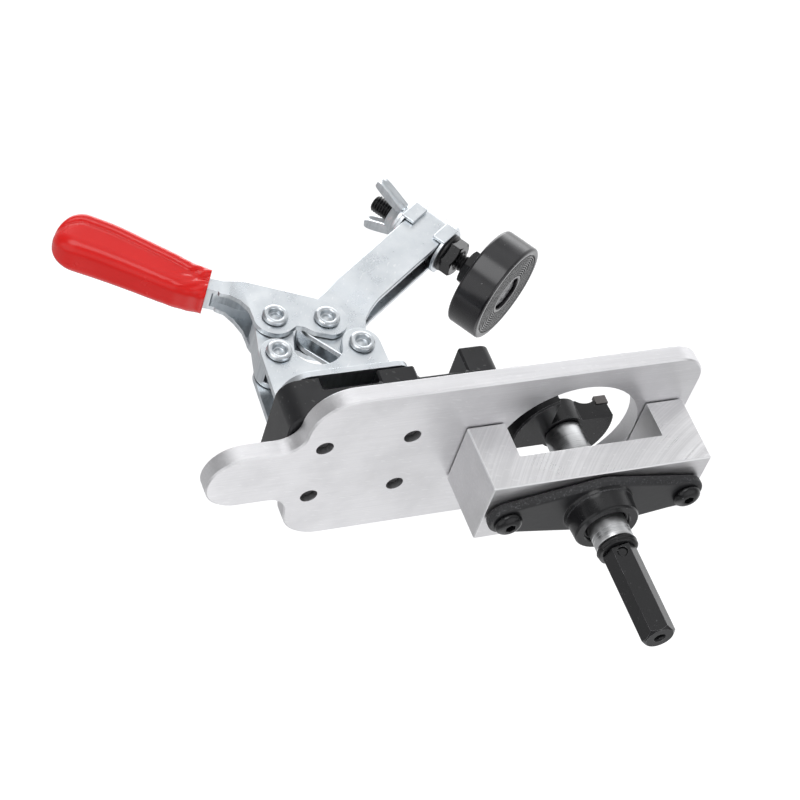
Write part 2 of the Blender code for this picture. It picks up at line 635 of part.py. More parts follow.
def build_washers(zinc, holder):
    outer_y = ARM_OUTER + GAP + WASHER_THICK
    for name, seat, side in (("washer_upper", ARM_TOP - GAP, -1), ("washer_lower", ARM_LOW + GAP, 1)):
        far = seat + side * WASHER_THICK
        low, high = sorted((seat, far))
        plate = rod(name, WASHER_RADIUS, low, high, (SPINDLE_X, 0), steps=36)
        flats = box(name + "_flats", (SPINDLE_X - 20, -outer_y, -REACH), (SPINDLE_X + 20, outer_y, REACH), CUTTERS)
        combine(plate, flats, "INTERSECT")
        fold = seat - side * TAB_TALL
        pieces = [flats]
        for y0, y1 in ((-outer_y, -outer_y + WASHER_THICK), (outer_y - WASHER_THICK, outer_y)):
            span = sorted((fold, far))
            tab = box(name + "_tab", (SPINDLE_X - TAB_HALF, y0, span[0]), (SPINDLE_X + TAB_HALF, y1, span[1]), CUTTERS)
            fuse(plate, tab)
            pieces.append(tab)
        hole = rod(name + "_hole", NUT_BORE, -REACH, REACH, (SPINDLE_X, 0), steps=24, collection=CUTTERS)
        cut(plate, hole)
        pieces.append(hole)
        for piece in pieces:
            piece.parent = holder
        finish(plate, zinc, holder)


def build_nuts(zinc, black, holder):
    seat = ARM_TOP - 2 * GAP - WASHER_THICK
    top = seat - WING_NUT_TALL
    wing_nut = turned("wing_nut", ((0, seat), (HUB_LOW, seat), (HUB_LOW, seat - 1.4), (HUB_LOW - 1.0, top),
                                   (0, top)), 32, (SPINDLE_X, 0))
    helpers = []
    for side in (-1, 1):
        tip = seat - WING_RISE
        outline = [(3.4, seat - 0.9), (5.4, seat - 0.9), (7.6, seat - 3.6), (9.4, seat - 7.0), (WING_SPAN, tip + 1.4),
                   (WING_SPAN - 0.7, tip + 0.3), (WING_SPAN - 2.2, tip), (WING_SPAN - 4.2, tip + 0.8),
                   (5.9, seat - 8.2), (4.0, top + 0.4), (3.4, top + 1.2)]
        outline = [(side * y, z) for y, z in outline]
        wing = prism("wing", outline, SPINDLE_X - WING_THICK / 2, SPINDLE_X + WING_THICK / 2, "X", CUTTERS)
        fuse(wing_nut, wing)
        helpers.append(wing)
    bore = rod("wing_nut_bore", NUT_BORE, -REACH, REACH, (SPINDLE_X, 0), steps=24, collection=CUTTERS)
    cut(wing_nut, bore)
    finish(wing_nut, zinc, holder)
    low = ARM_LOW + 2 * GAP + WASHER_THICK
    jam_nut = prism("jam_nut", hexagon(JAM_NUT_FLATS, 12, (SPINDLE_X, 0)), low + 0.6, low + JAM_NUT_TALL)
    skirt = turned("jam_nut_skirt", ((0, low + 1.3), (5.9, low + 1.3), (6.7, low + 0.7), (6.7, low), (0, low)), 32,
                   (SPINDLE_X, 0), collection=CUTTERS)
    fuse(jam_nut, skirt)
    bore_low = rod("jam_nut_bore", NUT_BORE, -REACH, REACH, (SPINDLE_X, 0), steps=24, collection=CUTTERS)
    cut(jam_nut, bore_low)
    finish(jam_nut, black, holder)
    for piece in helpers + [bore, skirt, bore_low]:
        piece.parent = holder


def build_spindle(black, rubber, holder):
    head_top = PAD_RECESS_TOP + GAP
    spindle = turned("spindle", ((0, SPINDLE_TOP), (SPINDLE_RADIUS - 0.6, SPINDLE_TOP),
                                 (SPINDLE_RADIUS, SPINDLE_TOP + 0.7), (SPINDLE_RADIUS, head_top + 1), (0, head_top + 1)),
                     24, (SPINDLE_X, 0))
    head = prism("spindle_head", hexagon(9.8, 20, (SPINDLE_X, 0)), head_top, head_top + BOLT_HEAD_TALL, "Z", CUTTERS)
    fuse(spindle, head)
    finish(spindle, black, holder)
    neck = prism("neck_nut", hexagon(NECK_NUT_FLATS, 40, (SPINDLE_X, 0)), NECK_NUT_TOP, NECK_NUT_TOP + NECK_NUT_TALL)
    neck_bore = rod("neck_bore", NUT_BORE, -REACH, REACH, (SPINDLE_X, 0), steps=24, collection=CUTTERS)
    cut(neck, neck_bore)
    finish(neck, black, holder)
    profile = [(NUT_BORE, PAD_TOP), (PAD_RADIUS - 1.2, PAD_TOP), (PAD_RADIUS, PAD_TOP + 1.2),
               (PAD_RADIUS, PAD_FACE - 0.8), (PAD_RADIUS - 0.8, PAD_FACE)]
    for radius in (14.4, 11.8, 9.2):
        profile += [(radius + 0.5, PAD_FACE), (radius, PAD_FACE - 0.7), (radius - 0.5, PAD_FACE)]
    profile += [(PAD_RECESS, PAD_FACE), (PAD_RECESS, PAD_RECESS_TOP), (NUT_BORE, PAD_RECESS_TOP)]
    pad = turned("pad", profile, 40, (SPINDLE_X, 0))
    finish(pad, rubber, holder)
    head.parent = holder
    neck_bore.parent = holder


def build_link(zinc):
    """Channel-shaped link: a plate each side of the stack, joined by a web on the outer edge."""
    bx, bz = PIVOT_B
    cx, cz = PIVOT_C
    radius = 6.2
    outline = hull(((bx, bz, LOBE_B), (cx, cz, radius)), 32)
    link = prism("toggle_link", outline, -INNER_FACE, INNER_FACE, "Y")
    along = Vector((cx - bx, cz - bz)).normalized()
    across = Vector((along.y, -along.x))
    if across.x < 0:
        across = -across
    far = 30.0
    offset = 3.4
    start = Vector((bx, bz)) - along * far - across * offset
    end = Vector((cx, cz)) + along * far - across * offset
    slot = prism("link_channel", [tuple(start), tuple(end), tuple(end + across * far), tuple(start + across * far)],
                 -(INNER_FACE - SHEET), INNER_FACE - SHEET, "Y", CUTTERS)
    cut(link, slot)
    cut(link, rod("link_bore", PIVOT_BORE, -REACH, REACH, PIVOT_B, "Y", 24, CUTTERS))
    cut(link, rod("link_open_bore", LINK_OPEN_BORE, -(INNER_FACE + 1), INNER_FACE + 1, PIVOT_C, "Y", 28, CUTTERS))
    finish(link, zinc)
    recentre(link, (bx, 0, bz))
    return link


def tube_section(centre, forward, across_half, wide_half, steps):
    """One ring of a swept body: forward lies in the XZ plane, wide runs along Y."""
    up = Vector((forward[1], -forward[0]))
    ring = []
    for i in range(steps):
        angle = 2 * math.pi * i / steps
        reach = math.cos(angle)
        side = math.sin(angle)
        spot = Vector(centre) + up * across_half * reach
        ring.append(point(spot.x, wide_half * side, spot.y))
    return ring


def direction(path, i):
    a = Vector(path[max(i - 1, 0)])
    b = Vector(path[min(i + 1, len(path) - 1)])
    return (b - a).normalized()


def build_grip(vinyl, holder):
    steps = 20
    bm = bmesh.new()
    rings = []
    stations = [(GRIP_PATH[i], direction(GRIP_PATH, i), GRIP_ACROSS[i], GRIP_WIDE[i]) for i in range(len(GRIP_PATH))]
    last, heading, across, wide = stations[-1]
    for reach, share in ((2.6, 0.82), (4.3, 0.55), (5.2, 0.22)):
        spot = Vector(last) + heading * reach
        stations.append((tuple(spot), heading, across * share, wide * share))
    for spot, heading, across, wide in stations:
        rings.append([bm.verts.new(p) for p in tube_section(spot, heading, across, wide, steps)])
    for one, two in zip(rings, rings[1:]):
        for i in range(steps):
            j = (i + 1) % steps
            bm.faces.new((one[i], one[j], two[j], two[i]))
    bm.faces.new(rings[0])
    bm.faces.new(rings[-1])
    grip = add_object("handle_grip", bm, PARTS)
    hollow = channel_solid("grip_hollow", CHANNEL_HALF + GAP, CHANNEL_TALL + 2 * GAP, GAP, 0.5)
    cut(grip, hollow)
    finish(grip, vinyl)
    grip.parent = holder
    grip.matrix_parent_inverse = holder.matrix_basis.inverted()
    return grip


def channel_solid(name, half, tall, above, beyond):
    """A bar of rectangular section that follows the handle's neck."""
    bm = bmesh.new()
    rings = []
    path = list(CHANNEL_PATH)
    ahead = Vector(path[0]) - direction(path, 0) * 1.2
    path[0] = tuple(ahead)
    tail = Vector(path[-1]) + direction(path, len(path) - 1) * beyond
    path[-1] = tuple(tail)
    for i, spot in enumerate(path):
        heading = direction(path, i)
        up = Vector((heading[1], -heading[0]))
        if up.y > 0:
            up = -up
        top = Vector(spot) + up * (CHANNEL_TALL / 2 + above)
        low = top - up * tall
        rings.append([bm.verts.new(point(top.x, half, top.y)), bm.verts.new(point(top.x, -half, top.y)),
                      bm.verts.new(point(low.x, -half, low.y)), bm.verts.new(point(low.x, half, low.y))])
    for one, two in zip(rings, rings[1:]):
        for i in range(4):
            j = (i + 1) % 4
            bm.faces.new((one[i], one[j], two[j], two[i]))
    bm.faces.new(rings[0])
    bm.faces.new(rings[-1])
    return add_object(name, bm, CUTTERS)


def handle_outline():
    """Side view of the handle's cheek plates in world X and Z."""
    points = arc(PIVOT_D[0], PIVOT_D[1], LOBE_CD, 320, 450, 12)
    points += [(-69.6, -41.9), (-72.4, -44.4), (-74.6, -45.2)]
    points += arc(PIVOT_C[0], PIVOT_C[1], LOBE_CD, 55, 190, 12)
    points += [(-87.3, -54.6), (-88.9, -58.6), (-91.2, -61.8), (-94.0, -63.4)]
    points += [(-95.6, -69.4)]
    points += list(reversed(HANDLE_TOP_LINE))[1:-1]
    return points


def build_handle(zinc, holder):
    outline = handle_outline()
    cheeks = prism("handle_lever", outline, -OUTER_FACE, OUTER_FACE, "Y")
    bm = bmesh.new()
    bm.from_mesh(cheeks.data)
    neck_x = -94.0
    wide_x = -85.0
    for share in (0.0, 0.25, 0.5, 0.75, 1.0):
        spot = point(neck_x + (wide_x - neck_x) * share, 0, 0)
        geometry = bm.verts[:] + bm.edges[:] + bm.faces[:]
        bmesh.ops.bisect_plane(bm, geom=geometry, plane_co=spot, plane_no=(1, 0, 0))
    narrow = CHANNEL_HALF / OUTER_FACE
    for vert in bm.verts:
        vert.co.y *= pinch(vert.co.x / MM, neck_x, wide_x, narrow)
    bm.to_mesh(cheeks.data)
    bm.free()
    inner = prism("handle_inside", inside_outline(), -(OUTER_FACE - SHEET), OUTER_FACE - SHEET, "Y", CUTTERS)
    bm = bmesh.new()
    bm.from_mesh(inner.data)
    for share in (0.0, 0.25, 0.5, 0.75, 1.0):
        spot = point(neck_x + (wide_x - neck_x) * share, 0, 0)
        geometry = bm.verts[:] + bm.edges[:] + bm.faces[:]
        bmesh.ops.bisect_plane(bm, geom=geometry, plane_co=spot, plane_no=(1, 0, 0))
    narrow_in = (CHANNEL_HALF - 1.6) / (OUTER_FACE - SHEET)
    for vert in bm.verts:
        vert.co.y *= pinch(vert.co.x / MM, neck_x, wide_x, narrow_in)
    bm.to_mesh(inner.data)
    bm.free()
    neck = channel_solid("neck_bar", CHANNEL_HALF, CHANNEL_TALL, 0, 0)
    fuse(cheeks, neck)
    cut(cheeks, inner)
    for centre in (PIVOT_C, PIVOT_D):
        cut(cheeks, rod("handle_pivot_hole", PIVOT_BORE, -REACH, REACH, centre, "Y", 24, CUTTERS))
    finish(cheeks, zinc)
    cheeks.parent = holder
    cheeks.matrix_parent_inverse = holder.matrix_basis.inverted()


def pinch(x, neck_x, wide_x, narrow):
    share = min(max((x - neck_x) / (wide_x - neck_x), 0.0), 1.0)
    ease = share * share * (3 - 2 * share)
    return narrow + (1 - narrow) * ease


def inside_outline():
    """Hollow between the cheeks: open below and over pivot D, closed by a web over the neck."""
    web = 1.8
    top = [(x, z + web) for x, z in HANDLE_TOP_LINE[2:]]
    points = [(-40.0, -20.0), (-40.0, -75.0), (-70.5, -75.0), (-70.5, -57.0)]
    points += top
    points += [(-94.6, -66.2), (-100.0, -60.5), (-100.0, -20.0)]
    return points


def main():
    global PARTS, CUTTERS
    clear_scene()
    PARTS = bpy.data.collections.new("cup_hinge_boring_jig")
    CUTTERS = bpy.data.collections.new("cutters")
    bpy.context.scene.collection.children.link(PARTS)
    bpy.context.scene.collection.children.link(CUTTERS)
    CUTTERS.hide_render = True
    aluminium = material("milled_aluminium", (0.80, 0.81, 0.82), 0.34, 1.0)
    zinc = material("zinc_plated_steel", (0.78, 0.80, 0.82), 0.30, 1.0)
    steel = material("ground_steel", (0.72, 0.73, 0.74), 0.22, 1.0)
    black_cast = material("black_cast_iron", (0.030, 0.030, 0.032), 0.55, 0.2)
    black_oxide = material("black_oxide_steel", (0.022, 0.022, 0.024), 0.38, 0.6)
    black_plastic = material("black_moulding", (0.028, 0.028, 0.031), 0.45, 0.0)
    rubber = material("black_rubber", (0.024, 0.024, 0.026), 0.62, 0.0)
    vinyl = material("red_vinyl", (0.78, 0.035, 0.020), 0.35, 0.0)
    carbide = material("carbide", (0.42, 0.43, 0.45), 0.32, 1.0)
    build_plate(aluminium)
    build_block(aluminium, black_oxide)
    build_flange(black_cast, black_oxide, black_oxide)
    build_bit(black_oxide, steel, carbide)
    build_bracket(black_plastic)
    build_clamp_screws(black_oxide)
    build_base(zinc, zinc)
    build_rivet("rivet_a", PIVOT_A, RIVET_RADIUS, zinc)
    build_rivet("rivet_b", PIVOT_B, RIVET_RADIUS, zinc)
    arm_holder = pivot("arm_pivot", (PIVOT_A[0], 0, PIVOT_A[1]), ARM_TILT)
    build_arm(zinc, arm_holder)
    build_washers(zinc, arm_holder)
    build_nuts(zinc, black_oxide, arm_holder)
    build_spindle(black_oxide, rubber, arm_holder)
    handle_holder = pivot("handle_pivot", (PIVOT_D[0], 0, PIVOT_D[1]))
    build_handle(zinc, handle_holder)
    build_grip(vinyl, handle_holder)
    for name, centre, shaft in (("rivet_c", PIVOT_C, THIN_RIVET), ("rivet_d", PIVOT_D, RIVET_RADIUS)):
        rivet = build_rivet(name, centre, shaft, zinc)
        rivet.parent = handle_holder
        rivet.matrix_parent_inverse = handle_holder.matrix_basis.inverted()
    build_link(zinc)


main()
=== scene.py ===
"""Studio scene of a cup-hinge boring jig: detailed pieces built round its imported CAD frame."""
import json
import math

import bmesh
import bpy
import numpy as np
from mathutils import Matrix, Vector, noise

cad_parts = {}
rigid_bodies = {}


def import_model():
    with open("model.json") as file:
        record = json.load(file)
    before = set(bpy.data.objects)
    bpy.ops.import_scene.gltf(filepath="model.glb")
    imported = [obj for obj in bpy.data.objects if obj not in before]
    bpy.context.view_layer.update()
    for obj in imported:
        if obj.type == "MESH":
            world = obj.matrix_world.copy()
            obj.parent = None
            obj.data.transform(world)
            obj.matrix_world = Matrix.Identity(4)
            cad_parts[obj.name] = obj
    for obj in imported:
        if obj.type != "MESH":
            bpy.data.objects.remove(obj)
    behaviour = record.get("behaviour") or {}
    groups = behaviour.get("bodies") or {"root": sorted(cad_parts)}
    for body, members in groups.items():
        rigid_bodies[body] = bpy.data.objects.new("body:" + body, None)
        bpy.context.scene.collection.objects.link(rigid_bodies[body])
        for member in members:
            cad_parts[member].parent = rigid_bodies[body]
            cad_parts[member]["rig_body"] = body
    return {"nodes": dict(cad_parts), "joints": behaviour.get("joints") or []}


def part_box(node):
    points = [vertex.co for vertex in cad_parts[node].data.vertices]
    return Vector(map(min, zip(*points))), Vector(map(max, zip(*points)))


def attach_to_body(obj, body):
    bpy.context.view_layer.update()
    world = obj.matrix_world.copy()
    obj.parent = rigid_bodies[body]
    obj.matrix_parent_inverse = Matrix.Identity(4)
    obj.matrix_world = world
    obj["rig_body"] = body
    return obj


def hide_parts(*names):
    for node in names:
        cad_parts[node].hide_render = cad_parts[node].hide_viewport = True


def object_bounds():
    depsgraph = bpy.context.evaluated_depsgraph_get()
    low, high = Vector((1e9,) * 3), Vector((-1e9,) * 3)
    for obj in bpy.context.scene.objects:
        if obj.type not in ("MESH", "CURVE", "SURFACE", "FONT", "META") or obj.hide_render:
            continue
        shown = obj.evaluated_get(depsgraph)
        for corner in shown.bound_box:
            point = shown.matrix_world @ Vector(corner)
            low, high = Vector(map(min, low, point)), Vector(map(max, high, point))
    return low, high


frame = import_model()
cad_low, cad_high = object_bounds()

MM = 0.001
WELD = 0.002  # CAD points this close, in millimetres, are one point
CURVE_STEPS = 16  # points between two given points of a smooth curve
FLAT_WITHIN = 0.5  # degrees between triangles that belong to one flat face
NODES = frame["nodes"]
JOINT = {joint["name"]: joint for joint in frame["joints"]}

# ---------------------------------------------------------------- frames taken from the record
ALONG = Vector(JOINT["carriage_slide"]["axis"])
LIFT = Vector(JOINT["spindle_lift"]["axis"])
ACROSS = Vector((0, 1, 0))
JAM_NUT_HEIGHT = -3.5  # millimetres along the spindle, from its zero to the jam nut's joint
ZERO = Vector(JOINT["jam_nut_spin"]["pos_m"]) - LIFT * JAM_NUT_HEIGHT * MM
SPINDLE = Matrix.Translation(ZERO) @ Matrix((ALONG, ACROSS, LIFT)).transposed().to_4x4()


# ---------------------------------------------------------------- mesh helpers
def smooth_step(value, low, high):
    t = min(1.0, max(0.0, (value - low) / (high - low)))
    return t * t * (3 - 2 * t)


def new_object(name, bm, surfaces, angle=35.0):
    """An object with smooth faces and sharp edges over the given angle."""
    bmesh.ops.recalc_face_normals(bm, faces=bm.faces)
    mesh = bpy.data.meshes.new(name)
    bm.to_mesh(mesh)
    bm.free()
    for surface in surfaces:
        mesh.materials.append(surface)
    mesh.shade_smooth()
    mesh.set_sharp_from_angle(angle=math.radians(angle))
    obj = bpy.data.objects.new(name, mesh)
    bpy.context.scene.collection.objects.link(obj)
    return obj


def attach(obj, *nodes):
    """The piece stands for these nodes, which it hides, and rides on their body."""
    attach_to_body(obj, NODES[nodes[0]]["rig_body"])
    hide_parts(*nodes)
    return obj


def bevel(obj, width, segments=2, angle=35.0, worn=True):
    """Rounds the edges over the angle; a second material, if there is one, goes on the rounded strips."""
    made = obj.modifiers.new("edges", "BEVEL")
    made.width = width * MM
    made.segments = segments
    made.limit_method = "ANGLE"
    made.angle_limit = math.radians(angle)
    made.harden_normals = False
    if worn and len(obj.data.materials) > 1:
        made.material = 1
    normals = obj.modifiers.new("normals", "WEIGHTED_NORMAL")
    normals.keep_sharp = False
    normals.weight = 60
    return obj


def flat_faces(bm):
    bmesh.ops.dissolve_limit(bm, angle_limit=math.radians(FLAT_WITHIN), verts=bm.verts, edges=bm.edges)
    return bm


def cad_mesh(node):
    """The node's own surface with its triangles merged back into flat faces."""
    bm = bmesh.new()
    bm.from_mesh(NODES[node].data)
    bmesh.ops.remove_doubles(bm, verts=bm.verts, dist=WELD * MM)
    flat_faces(bm)
    for layer in list(bm.loops.layers.float_vector.values()):
        bm.loops.layers.float_vector.remove(layer)
    return bm


def cad_copy(node, surfaces):
    """A CAD node's shape as a new object, smooth all over and without the normals it was packed with."""
    obj = new_object(node + "_fine", cad_mesh(node), surfaces, 180.0)
    if obj.data.attributes.get("custom_normal"):
        obj.data.attributes.remove(obj.data.attributes["custom_normal"])
    return obj


def dressed(node, surfaces, width, segments=2, angle=35.0):
    """A CAD node's shape with rounded, slightly worn edges."""
    obj = cad_copy(node, surfaces)
    bevel(obj, width, segments, angle)
    return attach(obj, node)


def around(radius, i, steps):
    """The x and y of point i on a circle divided into that many steps."""
    angle = 2 * math.pi * i / steps
    return radius * math.cos(angle), radius * math.sin(angle)


def lathe_mesh(profile, steps=64):
    """A closed solid of revolution about Z from (radius, height) pairs in millimetres."""
    bm = bmesh.new()
    rings = []
    for radius, height in profile:
        if radius < 1e-6:
            rings.append([bm.verts.new((0, 0, height * MM))])
            continue
        circle = [around(radius, i, steps) for i in range(steps)]
        rings.append([bm.verts.new((x * MM, y * MM, height * MM)) for x, y in circle])
    pairs = list(zip(rings, rings[1:]))
    if len(rings[0]) > 1:
        pairs.append((rings[-1], rings[0]))
    for one, two in pairs:
        for i in range(steps):
            j = (i + 1) % steps
            corners = [one[i % len(one)], one[j % len(one)], two[j % len(two)], two[i % len(two)]]
            face = list(dict.fromkeys(corners))
            if len(face) > 2:
                bm.faces.new(face)
    return bm


def rounded(profile, size=0.25, steps=3):
    """The same profile with each inner corner replaced by a small arc."""
    made = [profile[0]]
    for before, here, after in zip(profile, profile[1:], profile[2:]):
        here = Vector(here)
        toward_a = Vector(before) - here
        toward_b = Vector(after) - here
        reach = min(size, toward_a.length * 0.45, toward_b.length * 0.45)
        a = here + toward_a.normalized() * reach
        b = here + toward_b.normalized() * reach
        for i in range(steps + 1):
            t = i / steps
            made.append(tuple((1 - t) ** 2 * a + 2 * t * (1 - t) * here + t ** 2 * b))
    made.append(profile[-1])
    return made


def hexagon(flats, turn):
    """Six corners of a hexagon with that width across its flats."""
    corner = flats / math.sqrt(3)
    angles = [math.radians(turn + 30 + 60 * i) for i in range(6)]
    return [(corner * math.cos(a), corner * math.sin(a)) for a in angles]


def prism_mesh(outline, low, high):
    """A closed prism over the outline, between two heights in millimetres."""
    bm = bmesh.new()
    bottom = bm.faces.new([bm.verts.new((x * MM, y * MM, low * MM)) for x, y in outline])
    made = bmesh.ops.extrude_face_region(bm, geom=[bottom])
    top = [item for item in made["geom"] if isinstance(item, bmesh.types.BMVert)]
    bmesh.ops.translate(bm, verts=top, vec=(0, 0, (high - low) * MM))
    bmesh.ops.recalc_face_normals(bm, faces=bm.faces)
    return bm


def boolean(bm, other, operation):
    """The two closed meshes combined; both are used up."""
    made = []
    for part in (bm, other):
        bmesh.ops.recalc_face_normals(part, faces=part.faces)
        mesh = bpy.data.meshes.new("part")
        part.to_mesh(mesh)
        part.free()
        obj = bpy.data.objects.new("part", mesh)
        bpy.context.scene.collection.objects.link(obj)
        made.append(obj)
    modifier = made[0].modifiers.new("join", "BOOLEAN")
    modifier.operation = operation
    modifier.solver = "EXACT"
    modifier.object = made[1]
    graph = bpy.context.evaluated_depsgraph_get()
    result = bmesh.new()
    result.from_mesh(made[0].evaluated_get(graph).to_mesh())
    for obj in made:
        bpy.data.objects.remove(obj)
    return flat_faces(result)


def placed(bm, matrix):
    bmesh.ops.transform(bm, matrix=matrix, verts=bm.verts)
    return bm


def loft(rings, cap_first=True, cap_last=True):
    """A skin over rings of points, each with the same count."""
    bm = bmesh.new()
    made = [[bm.verts.new(p) for p in ring] for ring in rings]
    count = len(made[0])
    for one, two in zip(made, made[1:]):
        for i in range(count):
            j = (i + 1) % count
            bm.faces.new((one[i], one[j], two[j], two[i]))
    if cap_first:
        bm.faces.new(made[0])
    if cap_last:
        bm.faces.new(made[-1])
    return bm


def curve_through(points, count):
    """Evenly spread points on a smooth (Catmull-Rom) curve through the given ones."""
    spots = [Vector(p) for p in points]
    spots = [2 * spots[0] - spots[1]] + spots + [2 * spots[-1] - spots[-2]]
    dense = []
    for p0, p1, p2, p3 in zip(spots, spots[1:], spots[2:], spots[3:]):
        for i in range(CURVE_STEPS):
            t = i / CURVE_STEPS
            dense.append(0.5 * (2 * p1 + (p2 - p0) * t + (2 * p0 - 5 * p1 + 4 * p2 - p3) * t * t
                                + (3 * p1 - p0 - 3 * p2 + p3) * t ** 3))
    dense.append(spots[-2])
    table = np.array([list(p) for p in dense])
    reach = np.concatenate([[0], np.cumsum(np.linalg.norm(np.diff(table[:, :2], axis=0), axis=1))])
    wanted = np.linspace(0, reach[-1], count)
    return np.stack([np.interp(wanted, reach, table[:, k]) for k in range(table.shape[1])], axis=1)


# ---------------------------------------------------------------- material helpers
def put(tree, kind, values=None, **settings):
    """A shader node with its settings, and its inputs set or linked."""
    made = tree.nodes.new("ShaderNode" + kind)
    for key, value in settings.items():
        setattr(made, key, value)
    for key, value in (values or {}).items():
        if isinstance(value, bpy.types.NodeSocket):
            tree.links.new(value, made.inputs[key])
        else:
            made.inputs[key].default_value = value
    return made


def spots(tree, scale, turn=(0, 0, 0), shift=(0, 0, 0)):
    """Object coordinates, in repeats per metre along each axis."""
    where = put(tree, "TexCoord").outputs["Object"]
    turned = put(tree, "Mapping", {"Vector": where, "Rotation": [math.radians(a) for a in turn],
                                   "Location": shift})
    scaled = put(tree, "VectorMath", {0: turned.outputs[0], 1: scale}, operation="MULTIPLY")
    return scaled.outputs[0]


def grain(tree, scale, detail=4.0, rough=0.55, turn=(0, 0, 0), shift=(0, 0, 0)):
    scale = scale if isinstance(scale, tuple) else (scale,) * 3
    made = put(tree, "TexNoise", {"Vector": spots(tree, scale, turn, shift), "Scale": 1.0, "Detail": detail,
                                  "Roughness": rough})
    return made.outputs[0]


def ranged(tree, value, low, high, to_low=0.0, to_high=1.0, smooth=False):
    values = {"Value": value, "From Min": low, "From Max": high, "To Min": to_low, "To Max": to_high}
    return put(tree, "MapRange", values, interpolation_type="SMOOTHSTEP" if smooth else "LINEAR").outputs[0]


def maths(tree, operation, a, b=0.0):
    return put(tree, "Math", {0: a, 1: b}, operation=operation).outputs[0]


def mixed(tree, factor, a, b):
    """Two colours mixed by a factor socket."""
    made = put(tree, "Mix", {"Factor": factor}, data_type="RGBA")
    for index, value in ((6, a), (7, b)):
        if isinstance(value, bpy.types.NodeSocket):
            tree.links.new(value, made.inputs[index])
        else:
            made.inputs[index].default_value = (*value, 1.0)
    return made.outputs[2]


def facing(tree, axis, low, high):
    """1 where the surface looks along the object's axis either way, 0 where it looks sideways."""
    normal = put(tree, "TexCoord").outputs["Normal"]
    along = put(tree, "VectorMath", {0: normal, 1: axis}, operation="DOT_PRODUCT").outputs["Value"]
    return ranged(tree, maths(tree, "ABSOLUTE", along), low, high, smooth=True)


def surface(name, metallic=0.0, **constants):
    made = bpy.data.materials.new(name)
    made.use_nodes = True
    tree = made.node_tree
    shader = tree.nodes["Principled BSDF"]
    shader.inputs["Metallic"].default_value = metallic
    for key, value in constants.items():
        shader.inputs[key.replace("_", " ").title().replace("Ior", "IOR")].default_value = value
    return made, tree, shader


def join(tree, shader, colour, roughness, height=None, depth=0.02, strength=0.6):
    """Wires the patterns in.  depth is the bump's height in millimetres."""
    tree.links.new(colour, shader.inputs["Base Color"])
    tree.links.new(roughness, shader.inputs["Roughness"])
    if height is not None:
        bump = put(tree, "Bump", {"Height": height, "Distance": depth * MM, "Strength": strength})
        tree.links.new(bump.outputs[0], shader.inputs["Normal"])


def scratches(tree, scale, turn, threshold, shift=(0, 0, 0)):
    """Sparse thin lines, 1 on a scratch."""
    lines = grain(tree, scale, 2.0, 0.4, turn, shift)
    return ranged(tree, lines, threshold, threshold + 0.03, smooth=True)


SAW_CENTRE = (0.085, 0.0, 0.105)  # metres, in the block's own frame
SAW_ARCS_PER_METRE = 1500.0


def saw_arcs(tree, wander):
    """Grooves on arcs round the saw's axis, which a second pattern makes a little uneven."""
    where = put(tree, "TexCoord").outputs["Object"]
    from_saw = put(tree, "VectorMath", {0: where, 1: SAW_CENTRE}, operation="SUBTRACT").outputs[0]
    flat = put(tree, "VectorMath", {0: from_saw, 1: (1, 0, 1)}, operation="MULTIPLY").outputs[0]
    radius = put(tree, "VectorMath", {0: flat}, operation="LENGTH").outputs["Value"]
    ring = put(tree, "CombineXYZ", {0: maths(tree, "MULTIPLY", radius, SAW_ARCS_PER_METRE),
                                    1: maths(tree, "MULTIPLY", wander, 0.8)}).outputs[0]
    return put(tree, "TexNoise", {"Vector": ring, "Scale": 1.0, "Detail": 3.0, "Roughness": 0.6}).outputs[0]


def aluminium(name, streak, tint, sawn=0.0):
    """Milled bar: fine lengthwise tool marks, faint stains, scratches and, on a cut block, saw arcs."""
    made, tree, shader = surface(name, 1.0)
    fine = grain(tree, streak, 6.0, 0.65)
    broad = grain(tree, tuple(s * 0.16 for s in streak), 3.0, 0.5)
    stain = grain(tree, 45.0, 5.0, 0.6)
    marks = maths(tree, "ADD", maths(tree, "MULTIPLY", fine, 0.65), maths(tree, "MULTIPLY", broad, 0.35))
    height = marks
    if sawn:
        arcs = saw_arcs(tree, stain)
        on_sides = maths(tree, "MULTIPLY", facing(tree, (0, 1, 0), 0.8, 0.95), sawn)
        sharp = ranged(tree, arcs, 0.35, 0.7)
        height = put(tree, "Mix", {"Factor": on_sides, 2: marks, 3: sharp}, data_type="FLOAT").outputs[0]
    thin = scratches(tree, (14.0, 1300.0, 1300.0), (8, 11, 17), 0.66)
    shade = mixed(tree, ranged(tree, height, 0.3, 0.7), tuple(c * 0.87 for c in tint), tint)
    stained = ranged(tree, stain, 0.45, 0.70, 0.0, 0.55)
    shade = mixed(tree, stained, shade, tuple(c * 0.78 for c in tint))
    shade = mixed(tree, maths(tree, "MULTIPLY", thin, 0.3), shade, (0.95, 0.95, 0.96))
    rough = maths(tree, "ADD", ranged(tree, height, 0.3, 0.7, 0.30, 0.46),
                  ranged(tree, stain, 0.3, 0.7, -0.04, 0.06))
    join(tree, shader, shade, rough, height, 0.03, 0.5)
    return made


